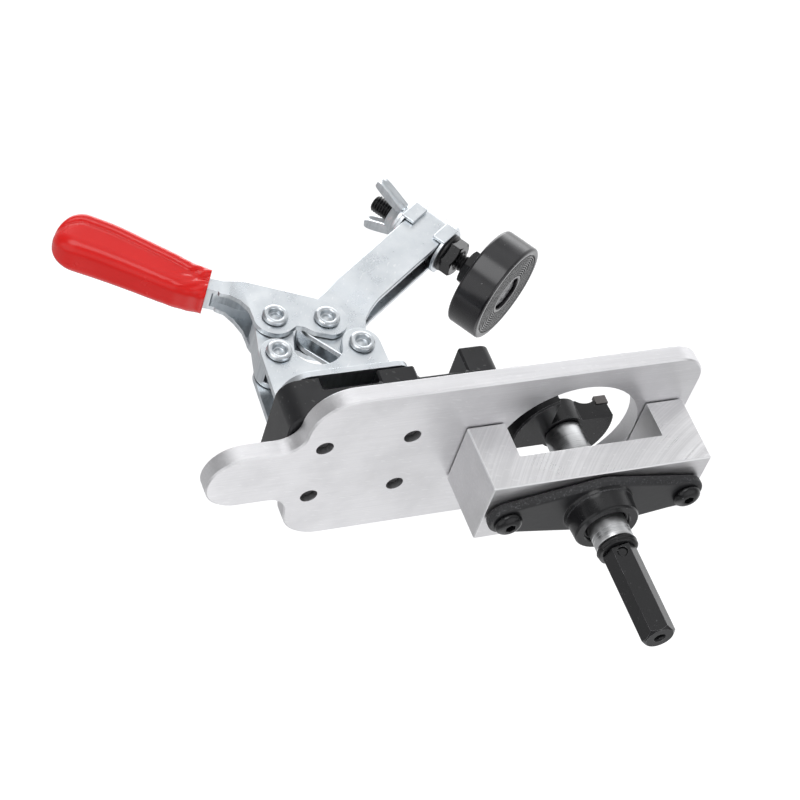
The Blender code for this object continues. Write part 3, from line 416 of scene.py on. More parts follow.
def zinc(name, bright=1.0):
    """Bright zinc plate over pressed sheet: cool, slightly mottled, rougher on sheared edges."""
    made, tree, shader = surface(name, 1.0)
    mottle = grain(tree, 130.0, 6.0, 0.6)
    fine = grain(tree, 2600.0, 3.0, 0.6)
    sheared = grain(tree, (900.0, 40.0, 900.0), 3.0, 0.6)
    edge = maths(tree, "SUBTRACT", 1.0, facing(tree, (0, 1, 0), 0.35, 0.75))
    thin = scratches(tree, (1400.0, 1400.0, 26.0), (24, 37, 8), 0.67)
    cloud = ranged(tree, mottle, 0.3, 0.7)
    dull, clean = (tuple(c * bright for c in tint) for tint in ((0.66, 0.70, 0.735), (0.77, 0.80, 0.82)))
    shade = mixed(tree, cloud, dull, clean)
    torn = maths(tree, "MULTIPLY", ranged(tree, sheared, 0.4, 0.7), maths(tree, "MULTIPLY", edge, 0.6))
    shade = mixed(tree, torn, shade, (0.50, 0.53, 0.56))
    shade = mixed(tree, maths(tree, "MULTIPLY", thin, 0.45), shade, (0.93, 0.94, 0.95))
    rough = maths(tree, "ADD", ranged(tree, mottle, 0.3, 0.7, 0.24, 0.36),
                  maths(tree, "MULTIPLY", edge, 0.07))
    height = maths(tree, "ADD", maths(tree, "MULTIPLY", fine, 0.5),
                   maths(tree, "MULTIPLY", maths(tree, "MULTIPLY", sheared, edge), 1.5))
    join(tree, shader, shade, rough, height, 0.012, 0.45)
    return made


def ground_steel(name):
    """Turned and ground: faint rings round the axis."""
    made, tree, shader = surface(name, 1.0)
    rings = grain(tree, (60.0, 60.0, 2600.0), 4.0, 0.6)
    cloud = grain(tree, 160.0, 4.0, 0.6)
    shade = mixed(tree, ranged(tree, rings, 0.3, 0.7), (0.48, 0.485, 0.49), (0.60, 0.605, 0.61))
    shade = mixed(tree, ranged(tree, cloud, 0.5, 0.8, 0.0, 0.3), shade, (0.42, 0.42, 0.43))
    join(tree, shader, shade, ranged(tree, rings, 0.3, 0.7, 0.26, 0.36), rings, 0.004, 0.3)
    return made


def black_metal(name, base, low, high, wear, lustre=0.5, sheen=0.0):
    """Black oxide or lacquer: roughness from low to high, dust specks and rubbed bright places."""
    made, tree, shader = surface(name, sheen, specular_ior_level=lustre)
    cloud = grain(tree, 220.0, 6.0, 0.65)
    fine = grain(tree, 2200.0, 3.0, 0.6)
    dust = ranged(tree, grain(tree, 1500.0, 1.0, 0.5, shift=(3.1, 0.4, 1.7)), 0.74, 0.78)
    rub = grain(tree, 420.0, 5.0, 0.7, shift=(0.2, 5.1, 0.9))
    rub = ranged(tree, rub, 0.62 - 0.3 * wear, 0.78 - 0.3 * wear)
    dark = tuple(c * 0.75 for c in base)
    shade = mixed(tree, ranged(tree, cloud, 0.3, 0.7), dark, base)
    shade = mixed(tree, maths(tree, "MULTIPLY", dust, 0.35), shade, (0.30, 0.30, 0.31))
    shade = mixed(tree, maths(tree, "MULTIPLY", rub, wear), shade, (0.34, 0.34, 0.35))
    rough = ranged(tree, cloud, 0.3, 0.7, low, high)
    join(tree, shader, shade, rough, maths(tree, "ADD", fine, cloud), 0.02, 0.5)
    return made


def cast_iron(name):
    """Black-coated casting: sandy on its rim, where light specks are painted on as highlights, smoother on
    the faces across the drill axis.
    """
    made, tree, shader = surface(name, 0.0, specular_ior_level=0.5)
    sand = grain(tree, 1500.0, 5.0, 0.75)
    lumps = grain(tree, 380.0, 4.0, 0.6)
    cloud = grain(tree, 90.0, 4.0, 0.6)
    rim = maths(tree, "SUBTRACT", 1.0, facing(tree, (0, 0, 1), 0.80, 0.97))
    shade = mixed(tree, ranged(tree, cloud, 0.3, 0.7), (0.010, 0.010, 0.011), (0.018, 0.018, 0.020))
    # painted highlights: light grey specks on the sandy rim stand in for light catching the rough casting
    specks = maths(tree, "MULTIPLY", ranged(tree, sand, 0.54, 0.66), maths(tree, "MULTIPLY", rim, 0.55))
    shade = mixed(tree, specks, shade, (0.17, 0.17, 0.18))
    rough = maths(tree, "ADD", ranged(tree, cloud, 0.3, 0.7, 0.34, 0.44),
                  maths(tree, "MULTIPLY", rim, 0.12))
    height = maths(tree, "ADD", maths(tree, "MULTIPLY", sand, ranged(tree, rim, 0, 1, 0.08, 0.9)),
                   maths(tree, "MULTIPLY", lumps, 0.35))
    join(tree, shader, shade, rough, height, 0.16, 0.8)
    return made


def moulding(name):
    """Black plastic: a fine mould texture, faint clouds and a few handling scratches."""
    made, tree, shader = surface(name, 0.0, specular_ior_level=0.45)
    cloud = grain(tree, 70.0, 4.0, 0.6)
    fine = grain(tree, 1800.0, 3.0, 0.6)
    thin = scratches(tree, (30.0, 900.0, 900.0), (12, 31, 40), 0.66)
    shade = mixed(tree, ranged(tree, cloud, 0.3, 0.7), (0.008, 0.008, 0.009), (0.014, 0.014, 0.016))
    shade = mixed(tree, maths(tree, "MULTIPLY", thin, 0.3), shade, (0.13, 0.13, 0.13))
    join(tree, shader, shade, ranged(tree, cloud, 0.3, 0.7, 0.28, 0.38), fine, 0.012, 0.3)
    return made


def rubber(name):
    """Smooth black rubber with faint clouds and grey dust."""
    made, tree, shader = surface(name, 0.0, specular_ior_level=0.60)
    cloud = grain(tree, 120.0, 5.0, 0.65)
    fine = grain(tree, 1600.0, 4.0, 0.65)
    dust = ranged(tree, grain(tree, 1100.0, 1.0, 0.5, shift=(1.3, 2.2, 0.1)), 0.75, 0.79)
    shade = mixed(tree, ranged(tree, cloud, 0.3, 0.7), (0.008, 0.008, 0.009), (0.015, 0.014, 0.017))
    shade = mixed(tree, maths(tree, "MULTIPLY", dust, 0.4), shade, (0.32, 0.32, 0.32))
    join(tree, shader, shade, ranged(tree, cloud, 0.3, 0.7, 0.16, 0.26), fine, 0.010, 0.3)
    return made


def vinyl(name):
    """Dipped vinyl: saturated red, soft gloss, a faint orange-peel skin and a little grime."""
    made, tree, shader = surface(name, 0.0, specular_ior_level=0.26, coat_weight=0.30, coat_roughness=0.06,
                                 subsurface_weight=0.08, subsurface_scale=0.002)
    cloud = grain(tree, 55.0, 4.0, 0.6)
    peel = grain(tree, 420.0, 3.0, 0.5)
    grime = ranged(tree, grain(tree, 520.0, 4.0, 0.6, shift=(0.7, 1.9, 0.3)), 0.70, 0.80)
    shade = mixed(tree, ranged(tree, cloud, 0.3, 0.7), (0.70, 0.007, 0.005), (0.74, 0.010, 0.008))
    shade = mixed(tree, maths(tree, "MULTIPLY", grime, 0.14), shade, (0.50, 0.008, 0.008))
    join(tree, shader, shade, ranged(tree, cloud, 0.3, 0.7, 0.20, 0.30), peel, 0.03, 0.3)
    return made


# ---------------------------------------------------------------- camera and studio
# The photo's viewpoint in the part's frame: a place in metres and three unit directions
CAMERA_AT = (-0.3417782, 0.5640163, 0.3927610)
CAMERA_RIGHT = (0.9135161, 0.2338789, 0.3328499)
CAMERA_DOWN = (-0.1216537, -0.6237068, 0.7721335)
CAMERA_AHEAD = (0.3881865, -0.7458488, -0.5413140)
LENS = 109.534
SENSOR = 36.0


def make_camera():
    data = bpy.data.cameras.new("camera")
    data.lens = LENS
    data.sensor_width = SENSOR
    data.clip_start = 0.05
    data.clip_end = 20.0
    camera = bpy.data.objects.new("camera", data)
    bpy.context.scene.collection.objects.link(camera)
    turn = Matrix((Vector(CAMERA_RIGHT), -Vector(CAMERA_DOWN), -Vector(CAMERA_AHEAD))).transposed()
    camera.matrix_world = Matrix.Translation(CAMERA_AT) @ turn.to_4x4()
    bpy.context.scene.camera = camera


# Each soft box: direction it shines from, cosine where it starts, cosine where it is full, strength
SOFT_BOXES = (((0.30, -0.79, 0.53), 0.35, 0.90, 0.20),
              ((0.02, -0.88, 0.48), 0.86, 0.99, 0.95),
              ((0.39, 0.75, -0.54), 0.55, 0.93, 0.42),
              ((0.07, 0.90, -0.42), 0.90, 0.985, 0.36),
              ((0.30, 0.14, -0.94), 0.86, 0.95, 2.80),
              ((-0.40, 0.91, 0.03), 0.935, 0.965, 2.90),
              ((0.85, -0.30, -0.40), 0.55, 0.92, 0.75),
              ((-0.90, 0.20, 0.40), 0.75, 0.95, 0.85),
              ((0.25, 0.40, 0.88), 0.70, 0.95, 0.80),
              ((-0.45, -0.75, -0.49), 0.50, 0.90, 0.20))
AMBIENT = 0.32


def make_world():
    """A light tent: an even glow with large soft boxes in it and one darker side."""
    world = bpy.data.worlds.new("studio")
    world.use_nodes = True
    tree = world.node_tree
    background = tree.nodes["Background"]
    where = put(tree, "TexCoord").outputs["Generated"]
    total = AMBIENT
    for direction, start, full, strength in SOFT_BOXES:
        aim = tuple(Vector(direction).normalized())
        near = put(tree, "VectorMath", {0: where, 1: aim}, operation="DOT_PRODUCT").outputs["Value"]
        glow = ranged(tree, near, start, full, 0.0, strength, smooth=True)
        total = maths(tree, "ADD", glow, total)
    background.inputs["Color"].default_value = (0.985, 0.99, 1.0, 1.0)
    tree.links.new(total, background.inputs["Strength"])
    bpy.context.scene.world = world


FLOOR_BELOW = 0.055
FLOOR_RADIUS = 2.6
FLOOR_STEPS = 64
BEND_STEPS = 12
FLOOR_GLOW = 0.62


def make_floor():
    """A pale floor that curves up into a backdrop; it takes soft shadows but doesn't tint the object."""
    low = cad_low.z - FLOOR_BELOW
    centre = (cad_low + cad_high) / 2
    flat = FLOOR_RADIUS * 0.6
    bend = FLOOR_RADIUS * 0.4
    profile = [(FLOOR_RADIUS * 0.3, 0.0), (flat, 0.0)]
    for i in range(1, BEND_STEPS + 1):
        angle = math.radians(90 * i / BEND_STEPS)
        profile.append((flat + bend * math.sin(angle), bend * (1 - math.cos(angle))))
    profile.append((FLOOR_RADIUS, FLOOR_RADIUS))
    rings = []
    for radius, height in profile:
        circle = [around(radius, i, FLOOR_STEPS) for i in range(FLOOR_STEPS)]
        rings.append([(centre.x + x, centre.y + y, low + height) for x, y in circle])
    bm = loft(rings, cap_last=False)
    made, tree, shader = surface("backdrop", 0.0, roughness=0.9)
    cloud = grain(tree, 3.0, 2.0, 0.5)
    shade = mixed(tree, cloud, (0.60, 0.60, 0.60), (0.62, 0.62, 0.62))
    tree.links.new(shade, shader.inputs["Base Color"])
    shader.inputs["Emission Color"].default_value = (1.0, 1.0, 1.0, 1.0)
    shader.inputs["Emission Strength"].default_value = FLOOR_GLOW
    floor = new_object("floor", bm, [made], 60.0)
    floor.visible_glossy = False
    floor.visible_diffuse = False
    floor.visible_shadow = False


# ---------------------------------------------------------------- pieces
SCREW_HEAD_TALL = 2.3
SCREW_HEAD = 4.05  # radius
FLANGE_SCREW_HEAD = 4.5
SCREW_SHAFT = 2.45
SCREW_PITCH = 0.8
SCREW_THREAD_DEEP = 0.42
SCREW_TIP = 0.7  # chamfer
SOCKET_FLATS = 3.0
SOCKET_SHARE = 0.25  # of the head's height that is left solid under the socket


def build_screw(node, seat, tip, up, surfaces, head=SCREW_HEAD):
    """Low domed screw with a hexagonal socket and a threaded, chamfered end; up is 1 or -1."""
    shaft = SCREW_SHAFT
    profile = [(0, tip), (shaft - SCREW_TIP, tip), (shaft - 0.1, tip + up * SCREW_TIP)]
    z = tip + up * 0.9
    while (seat - z) * up > 1.2:
        profile += [(shaft, z), (shaft - SCREW_THREAD_DEEP, z + up * SCREW_PITCH / 2)]
        z += up * SCREW_PITCH
    profile += [(shaft, seat - up * 0.8), (shaft, seat), (head - 0.15, seat), (head, seat + up * 0.25)]
    for i in range(1, 9):
        angle = math.radians(90 * i / 8)
        dome = 0.35 + (SCREW_HEAD_TALL - 0.35) * math.sin(angle)
        profile.append((2.0 + (head - 2.0) * math.cos(angle), seat + up * dome))
    profile.append((0, seat + up * SCREW_HEAD_TALL))
    bm = lathe_mesh(profile, 40)
    floor = seat + up * SCREW_HEAD_TALL * SOCKET_SHARE
    low, high = sorted((floor, seat + up * (SCREW_HEAD_TALL + 1)))
    bm = boolean(bm, prism_mesh(hexagon(SOCKET_FLATS, 10), low, high), "DIFFERENCE")
    x, y = middle(node)[:2]
    placed(bm, Matrix.Translation((x * MM, y * MM, 0)))
    return attach(new_object(node + "_fine", bm, surfaces, 38.0), node)


def middle(node):
    """The centre of a CAD node's box, in millimetres."""
    low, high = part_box(node)
    return (low + high) / 2 / MM


def build_screws(black):
    for node in ("flange_screw_left", "flange_screw_right"):
        low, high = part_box(node)
        build_screw(node, high.z / MM - SCREW_HEAD_TALL, low.z / MM, 1, [black], FLANGE_SCREW_HEAD)
    for row in ("back", "front"):
        for side in ("l", "r"):
            node = "clamp_screw_" + row + "_" + side
            low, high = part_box(node)
            build_screw(node, low.z / MM + SCREW_HEAD_TALL, high.z / MM, -1, [black])


RIVET_SHAFT = 2.6
HANDLE_RIVET_SHAFT = 1.9


def build_rivets(shade_dimmed_zinc):
    """Hollow rivets: a rolled ring at each end round a dished floor with a small raised pip, in a zinc
    dimmed as painted shade.
    """
    for node in ("rivet_a", "rivet_b", "rivet_c", "rivet_d"):
        low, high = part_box(node)
        centre = (low + high) / 2
        top = high.y / MM
        shaft = HANDLE_RIVET_SHAFT if node == "rivet_c" else RIVET_SHAFT
        floor = [(0, top - 1.35), (0.8, top - 1.42), (1.4, top - 1.70), (1.8, top - 1.78)]
        rolled = [(2.05, top - 1.6), (2.15, top - 1.1), (2.25, top - 0.5), (2.45, top - 0.16),
                  (2.8, top - 0.02), (3.2, top), (3.6, top - 0.1), (3.95, top - 0.4),
                  (4.12, top - 0.85), (4.15, top - 1.15), (4.0, top - 1.38)]
        half = floor + rolled + [(shaft, top - 1.4)]
        profile = half + [(radius, -height) for radius, height in reversed(half)]
        bm = lathe_mesh(profile, 48)
        turn = Matrix.Rotation(math.radians(-90), 4, "X")
        placed(bm, Matrix.Translation(centre) @ turn)
        attach(new_object(node + "_fine", bm, [shade_dimmed_zinc], 50.0), node)


# Heights along the spindle, and radii round it, in millimetres
ROD_RADIUS, ROD_LOW, ROD_HIGH = 2.95, -35.9, 13.3
ROD_PITCH, ROD_THREAD_DEEP, ROD_CHAMFER = 1.0, 0.52, 0.7
HEAD_LOW, HEAD_HIGH, HEAD_FLATS = 12.9, 17.9, 9.8
PAD_BACK, PAD_FACE, PAD_RADIUS, PAD_RECESS = 7.2, 18.9, 17.5, 6.1
PAD_RING_PITCH, PAD_RING_DEEP = 0.74, 0.45
WING_SEAT, HUB_TALL = -23.8, 5.0
# Each nut: node, width across flats, turn in degrees, low end, high end, whether it has a flanged foot
NUTS = (("jam_nut", 11.0, 12, -5.8, -0.9, True), ("neck_nut", 11.4, 40, 2.6, 6.9, False))


def threaded_rod(radius, low, high, pitch, depth, steps=28):
    """Rings of a helical thread with chamfered ends, heights in millimetres."""
    per_pitch = 6
    count = int((high - low) / pitch * per_pitch)
    rings = []
    for k in range(count + 1):
        z = low + (high - low) * k / count
        end = min(z - low, high - z)
        most = radius - max(0.0, ROD_CHAMFER - end)
        ring = []
        for i in range(steps):
            share = (z / pitch - i / steps) % 1.0
            groove = min(1.0, max(0.0, 1.25 - abs(share - 0.5) * 3.4))
            here = min(radius - depth * groove, most)
            ring.append(Vector((*around(here, i, steps), z)) * MM)
        rings.append(ring)
    return loft(rings)


def build_spindle(black, worn, rubber_surface):
    """The threaded rod with its headed end, and what sits on it."""
    bm = threaded_rod(ROD_RADIUS, ROD_LOW, ROD_HIGH, ROD_PITCH, ROD_THREAD_DEEP)
    placed(bm, SPINDLE)
    attach(new_object("spindle_thread", bm, [black], 60.0), "spindle")
    cone = lathe_mesh([(0, HEAD_LOW), (5.9, HEAD_LOW), (5.9, HEAD_HIGH - 0.6), (5.2, HEAD_HIGH),
                       (0, HEAD_HIGH)], 48)
    head = boolean(prism_mesh(hexagon(HEAD_FLATS, 20), HEAD_LOW, HEAD_HIGH), cone, "INTERSECT")
    dimple = lathe_mesh([(0, HEAD_HIGH - 0.35), (1.9, HEAD_HIGH - 0.25), (3.2, HEAD_HIGH - 0.12),
                         (3.4, HEAD_HIGH + 0.3), (0, HEAD_HIGH + 0.3)], 40)
    head = boolean(head, dimple, "DIFFERENCE")
    placed(head, SPINDLE)
    bolt = new_object("spindle_head", head, [worn], 30.0)
    bevel(bolt, 0.12, 2, 30.0, False)
    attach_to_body(bolt, "spindle")
    build_pad(rubber_surface)
    for nut in NUTS:
        build_nut(*nut, black)


def build_nut(node, flats, turn, low, high, skirt, black):
    """Hexagon nut with chamfered corners, a countersunk bore and, if asked, a flanged foot."""
    corner = flats / math.sqrt(3)
    cone = lathe_mesh([(0, low), (corner - 0.75, low), (corner + 0.5, low + 0.75),
                       (corner + 0.5, high - 0.75), (corner - 0.75, high), (0, high)], 48)
    bm = boolean(prism_mesh(hexagon(flats, turn), low, high), cone, "INTERSECT")
    if skirt:
        outline = [(0, low + 1.4), (5.9, low + 1.4), (6.6, low + 0.8), (6.7, low), (0, low)]
        foot = lathe_mesh(rounded(outline), 48)
        bm = boolean(bm, foot, "UNION")
    bore = lathe_mesh([(0, low - 1), (3.9, low - 1), (3.9, low), (3.1, low + 0.7), (3.1, high - 0.7),
                       (3.9, high), (3.9, high + 1), (0, high + 1)], 40)
    bm = boolean(bm, bore, "DIFFERENCE")
    placed(bm, SPINDLE)
    nut = new_object(node + "_fine", bm, [black], 30.0)
    bevel(nut, 0.10, 2, 30.0, False)
    attach(nut, node)


def build_pad(rubber_surface):
    """Thick rubber disc: moulding line, soft edges and fine rings on its face round a deep recess."""
    back, face, radius, recess = PAD_BACK, PAD_FACE, PAD_RADIUS, PAD_RECESS
    profile = [(3.25, back), (9.0, back), (9.3, back + 0.25), (16.3, back + 0.25), (16.9, back + 0.35),
               (17.3, back + 0.65), (radius, back + 1.15), (radius, back + 1.4), (radius, face - 1.0),
               (radius, face - 0.75), (17.4, face - 0.35), (17.15, face - 0.1), (16.8, face),
               (15.5, face), (15.35, face - 0.1), (15.2, face - 0.55), (14.95, face - 0.55),
               (14.8, face - 0.1)]
    ring = 14.7
    while ring > 7.3:
        profile += [(ring, face - 0.02), (ring - 0.32, face - 0.02),
                    (ring - 0.42, face - PAD_RING_DEEP), (ring - 0.62, face - PAD_RING_DEEP)]
        ring -= PAD_RING_PITCH
    profile += [(ring, face - 0.02), (recess + 0.2, face - 0.02), (recess, face - 0.3),
                (recess, HEAD_LOW - 0.05), (5.9, HEAD_LOW - 0.28), (3.25, HEAD_LOW - 0.3)]
    bm = lathe_mesh(profile, 96)
    placed(bm, SPINDLE)
    attach(new_object("pad_fine", bm, [rubber_surface], 34.0), "pad")


WING_STATIONS = 14


def build_wing_nut(zinc_surface):
    """Pressed wing nut: a domed hub and two wings whose rims stand proud of a sunken middle."""
    seat = WING_SEAT
    top = seat - HUB_TALL
    outline = [(3.1, seat), (5.6, seat), (5.7, seat - 1.4), (5.1, seat - 2.6), (4.5, top + 0.4), (4.1, top),
               (3.6, top), (3.1, top + 0.5)]
    hub = lathe_mesh(rounded(outline, 0.4), 48)
    placed(hub, SPINDLE)
    attach(new_object("wing_nut_hub", hub, [zinc_surface], 50.0), "wing_nut")
    inner = ((3.9, -24.9), (4.4, -28.4), (5.3, -31.2), (6.6, -34.0), (7.7, -36.2), (8.9, -37.0))
    outer = ((6.2, -24.6), (7.6, -27.4), (9.2, -30.6), (10.4, -33.4), (10.95, -35.6), (10.2, -36.7))
    for side, name in ((-1, "wing_rear"), (1, "wing_front")):
        near = curve_through(inner, WING_STATIONS)
        far = curve_through(outer, WING_STATIONS)
        rings = []
        for k, (a, b) in enumerate(zip(near, far)):
            rings.append(wing_section(Vector(a), Vector(b), side, k / (WING_STATIONS - 1)))
        bm = loft(rings)
        placed(bm, SPINDLE)
        wing = new_object(name, bm, [zinc_surface], 75.0)
        smooth = wing.modifiers.new("smooth", "SUBSURF")
        smooth.levels = smooth.render_levels = 2
        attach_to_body(wing, "wing_nut")


# Half of a wing's section: share of the way from its inner to its outer edge, share of its half thickness
WING_POINTS = ((0.26, 0.0), (0.16, 0.30), (0.0, 0.58), (0.0, 0.86), (0.10, 1.0), (0.32, 0.93), (0.5, 0.90),
               (0.68, 0.93), (0.90, 1.0), (1.0, 0.86), (1.0, 0.58), (0.84, 0.30), (0.76, 0.0))


def wing_section(a, b, side, tip):
    """Ring round a wing at one height: a folded sheet with a furrow along each narrow edge."""
    thick = 2.15 - 0.25 * tip
    shut = smooth_step(tip, 0.80, 1.0)
    ring = []
    for sign, points in ((1, WING_POINTS), (-1, WING_POINTS[-2:0:-1])):
        for share, half in points:
            share += (round(share) - share) * shut if abs(share - 0.5) > 0.2 else 0.0
            spot = a.lerp(b, share)
            ring.append(Vector((sign * half * thick, side * spot.x, spot.y)) * MM)
    return ring


BOSS_RADIUS = 10.5
BOSS_LOW, BOSS_HIGH = 34.0, 41.42


def build_flange(cast, machined):
    """The casting's corners are rounded by a fine remesh, as a sand mould leaves them."""
    flange = cad_copy("guide_flange", [cast])
    remesh = flange.modifiers.new("remesh", "REMESH")
    remesh.mode = "VOXEL"
    remesh.voxel_size = 0.34 * MM
    remesh.use_smooth_shade = True
    soften = flange.modifiers.new("soften", "SMOOTH")
    soften.factor = 0.5
    soften.iterations = 5
    attach(flange, "guide_flange")
    outside = [(BOSS_RADIUS + 0.9, BOSS_LOW), (BOSS_RADIUS + 0.5, 34.9), (BOSS_RADIUS + 0.28, 36.4),
               (BOSS_RADIUS, 40.75), (BOSS_RADIUS - 0.14, 41.05), (BOSS_RADIUS - 0.5, BOSS_HIGH)]
    inside = [(7.75, BOSS_HIGH), (7.45, 41.15), (7.45, 40.62), (8.35, 40.62)]
    shell = lathe_mesh([(8.35, BOSS_LOW), *outside, *inside], 96)
    boss = new_object("guide_boss", shell, [machined], 20.0)
    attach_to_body(boss, NODES["guide_flange"]["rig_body"])


SHANK_RADIUS = 6.2
ENGRAVED_RINGS = (45.6, 44.4)  # heights
RING_DEEP = 0.14


def build_bit(black, worn_black, steel, carbide):
    """The turned shank with its stubs and centre point, and the pieces that sit on it."""
    shank = SHANK_RADIUS
    groove = shank - RING_DEEP
    profile = [(0, 58.7), (3.0, 58.7), (3.0, 50.9), (4.0, 50.9), (4.0, 48.2), (5.8, 48.2), (6.1, 48.0),
               (shank, 47.7)]
    for mark in ENGRAVED_RINGS:
        profile += [(shank, mark + 0.16), (groove, mark + 0.05), (groove, mark - 0.05), (shank, mark - 0.16)]
    profile += [(shank, 20.0), (shank, 5.2), (5.9, 4.5), (3.0, 4.5), (3.0, -4.4), (1.6, -5.0), (0.5, -7.2),
                (0, -7.8)]
    attach(new_object("bit_shank_fine", lathe_mesh(profile, 72), [steel], 25.0), "bit_shank")
    for node, width in (("bit_head", 0.28), ("hex_shank", 0.32)):
        dressed(node, [black, worn_black], width, 3, 32.0)
    build_collar(black)
    dressed("set_screw", [black], 0.15)
    dressed("guide_sleeve", [black], 0.10)
    for node in ("blade_a", "blade_b", "spur_a", "spur_b"):
        dressed(node, [carbide], 0.08)


def build_collar(black):
    """Thin stop ring with two lips, left a little uneven where it was pressed on."""
    profile = [(4.4, 48.6), (6.3, 48.6), (6.55, 48.8), (6.62, 49.1), (6.5, 49.4), (6.18, 49.55),
               (6.12, 49.8), (6.42, 49.95), (6.48, 50.2), (6.3, 50.5), (5.9, 50.75), (5.2, 50.85),
               (4.4, 50.85)]
    bm = lathe_mesh(profile, 96)
    for vert in bm.verts:
        angle = math.atan2(vert.co.y, vert.co.x)
        spot = Vector((math.cos(angle) * 2.2, math.sin(angle) * 2.2, vert.co.z / MM * 0.9))
        if vert.co.xy.length > 5.0 * MM:
            vert.co.xy *= 1 + 0.030 * noise.noise(spot)
            vert.co.z += 0.20 * MM * noise.noise(spot + Vector((7.0, 3.0, 1.0)))
    attach(new_object("stop_collar_fine", bm, [black], 60.0), "stop_collar")


# The grip's middle line: x, z, half height and half width in millimetres, from its mouth to its end
GRIP_PATH = ((-96.4, -67.6, 5.4, 6.2), (-102.6, -71.0, 5.9, 6.3), (-107.6, -75.0, 6.4, 6.5),
             (-115.5, -81.4, 6.8, 6.8), (-123.4, -87.6, 7.3, 7.1), (-130.6, -92.5, 7.5, 7.2))
GRIP_STATIONS = 72
GRIP_END, GRIP_END_STEPS = 8.6, 15
GRIP_MOUTH = ((0.0, 0.97), (0.35, 0.90), (3.5, 0.86), (5.0, 0.5))  # depth inside, share of the section


def build_grip(red):
    """Dipped sleeve: a flat palm side, a rolled rib along its upper edge, creases by its mouth."""
    stations = curve_through(GRIP_PATH, GRIP_STATIONS)
    rings = []
    length = 0.0
    for k, station in enumerate(stations):
        after = stations[min(k + 1, GRIP_STATIONS - 1)]
        before = stations[max(k - 1, 0)]
        heading = (Vector(after[:2]) - Vector(before[:2])).normalized()
        if k:
            length += (Vector(station[:2]) - Vector(before[:2])).length
        rings.append(grip_ring(station, heading, length))
    last = stations[-1]
    upward = Vector((heading.y, -heading.x)) * (-1.0 if heading.x > 0 else 1.0)
    for step in range(1, GRIP_END_STEPS):
        angle = math.radians(90 * step / (GRIP_END_STEPS - 0.5))
        spot = Vector(last[:2]) + heading * GRIP_END * math.sin(angle) + upward * (1 - math.cos(angle))
        share = math.cos(angle) ** 0.85
        rings.append(grip_ring((*spot, last[2] * share, last[3] * share), heading, length + step))
    first = stations[0]
    inward = Vector(stations[1][:2] - first[:2]).normalized()
    mouth = []
    for inset, scale in GRIP_MOUTH:
        start = Vector(first[:2]) + inward * inset
        mouth.append(grip_ring((*start, first[2] * scale, first[3] * scale), inward, 0.0))
    bm = loft(list(reversed(mouth)) + rings)
    attach(new_object("handle_grip_fine", bm, [red], 80.0), "handle_grip")


def grip_outline(tall, wide, swell):
    """Half a section from its top to its bottom, as (height, width): a rolled bead over a flat side."""
    lift = 0.95 * swell
    roll = min(2.0, 0.42 * tall, 0.42 * wide)
    low_roll = 0.55 * wide
    low_tall = 0.62 * tall
    centre = wide + lift - roll
    points = [(tall, centre * k / 4) for k in range(4)]
    for k in range(15):
        angle = math.radians(90 - (90 + 62 * swell) * k / 14)
        points.append((tall - roll + roll * math.sin(angle), centre + roll * math.cos(angle)))
    start = points[-1][0]
    points.append((start - 0.25 * swell - 0.03, points[-1][1] - 0.03 * swell))
    points.append((start - 0.60 * swell - 0.06, wide - 0.10 * swell))
    start -= 1.1 * swell + 0.1
    end = low_tall - tall
    points += [(start + (end - start) * k / 9, wide) for k in range(10)]
    for k in range(1, 13):
        angle = math.radians(-90 * k / 12)
        points.append((end + low_tall * math.sin(angle), wide - low_roll + low_roll * math.cos(angle)))
    points += [(-tall, (wide - low_roll) * (3 - k) / 4) for k in range(4)]
    return points


def grip_ring(station, heading, length):
    """One section of the sleeve, creased and a little pinched near the mouth."""
    x, z, tall, wide = station
    up = Vector((heading.y, -heading.x))
    if up.y > 0:
        up = -up
    crease = math.exp(-length / 5.0)
    swell = max(0.0, 1.0 - 0.25 * crease) * min(1.0, tall / 6.0)
    half = []
    for height, width in grip_outline(tall, wide * 0.95, swell):
        level = height / max(tall, 0.1)
        pinch = crease * (0.75 * math.exp(-((level - 0.12) / 0.16) ** 2)
                          + 0.35 * math.exp(-((level + 0.62) / 0.13) ** 2))
        pucker = crease * 0.24 * math.sin(11 * level + 1.3 * length)
        sag = 1 + 0.03 * crease * math.sin(1.6 * length)
        half.append((height * sag, max(0.0, width - (pinch - pucker) * min(1.0, width))))
    ring = []
    for height, width in half + [(height, -width) for height, width in half[-2:0:-1]]:
        rise = up * height
        ring.append(Vector((x + rise.x, width, z + rise.y)) * MM)
    return ring


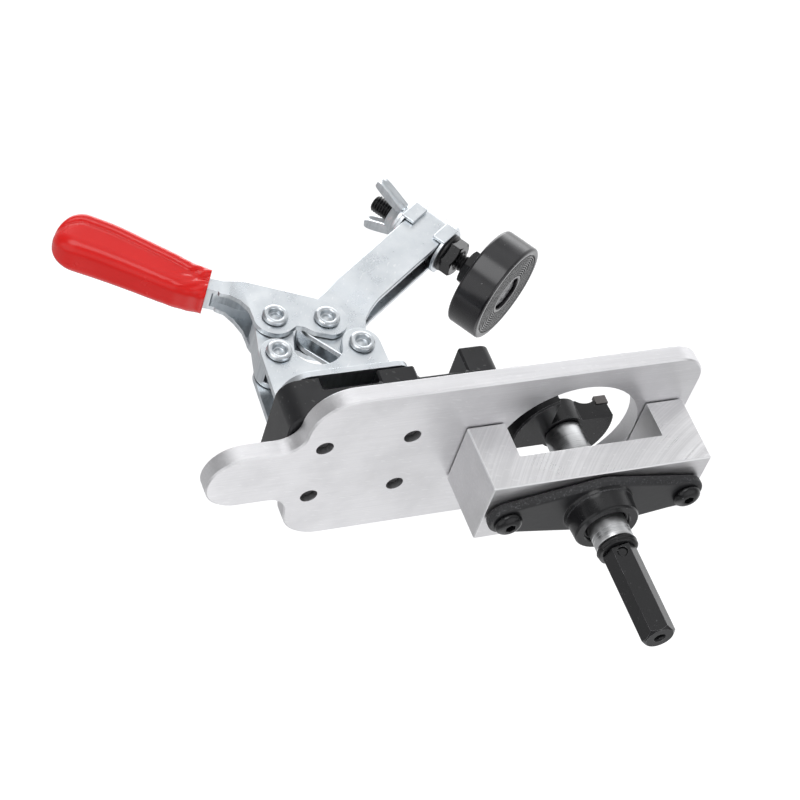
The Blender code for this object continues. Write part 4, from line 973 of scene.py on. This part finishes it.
# Each pressed sheet: node, width in millimetres and segments of its rounded edge
PRESSED_SHEETS = (("clamp_base_front", 0.30, 3), ("clamp_base_rear", 0.30, 3), ("toggle_link", 0.30, 3),
                  ("clamp_arm", 0.45, 4), ("handle_lever", 0.30, 3), ("washer_upper", 0.42, 4),
                  ("washer_lower", 0.42, 4))


def build_all():
    plate_metal = aluminium("aluminium_plate", (45.0, 1500.0, 1500.0), (0.86, 0.855, 0.87))
    block_metal = aluminium("aluminium_block", (90.0, 900.0, 900.0), (0.86, 0.855, 0.865), 0.55)
    edge_metal = aluminium("aluminium_edge", (45.0, 900.0, 900.0), (0.93, 0.93, 0.94))
    zinc_sheet = zinc("zinc_plate")
    zinc_edge = zinc("zinc_edge", 1.12)
    steel = ground_steel("ground_steel")
    cast = cast_iron("black_casting")
    oxide = black_metal("black_oxide", (0.009, 0.009, 0.010), 0.16, 0.28, 0.06, 0.40)
    oxide_edge = black_metal("black_oxide_edge", (0.045, 0.045, 0.05), 0.18, 0.30, 0.75, 0.6, 0.3)
    bracket = moulding("black_moulding")
    tyre = rubber("black_rubber")
    red = vinyl("red_vinyl")
    hard = black_metal("carbide", (0.16, 0.15, 0.145), 0.30, 0.42, 0.25, 0.5, 0.85)
    dressed("base_plate", [plate_metal, edge_metal], 0.14, 2, 28.0)
    dressed("guide_block", [block_metal, edge_metal], 0.16, 2, 28.0)
    for node in ("block_screw_la", "block_screw_lb", "block_screw_ra", "block_screw_rb"):
        dressed(node, [oxide], 0.12)
    dressed("fence_bracket", [bracket], 0.45, 3, 30.0)
    for node, width, segments in PRESSED_SHEETS:
        dressed(node, [zinc_sheet, zinc_edge], width, segments, 38.0)
    build_flange(cast, oxide)
    build_screws(oxide)
    # the rivets' zinc is dimmed to 0.86 of the plate as painted shade for their dished ends
    build_rivets(zinc("zinc_rivet_painted_shade", 0.86))
    build_spindle(oxide, oxide_edge, tyre)
    build_wing_nut(zinc_sheet)
    build_bit(oxide, oxide_edge, steel, hard)
    build_grip(red)


bpy.context.scene.view_settings.view_transform = "Standard"
make_camera()
make_world()
make_floor()
build_all()
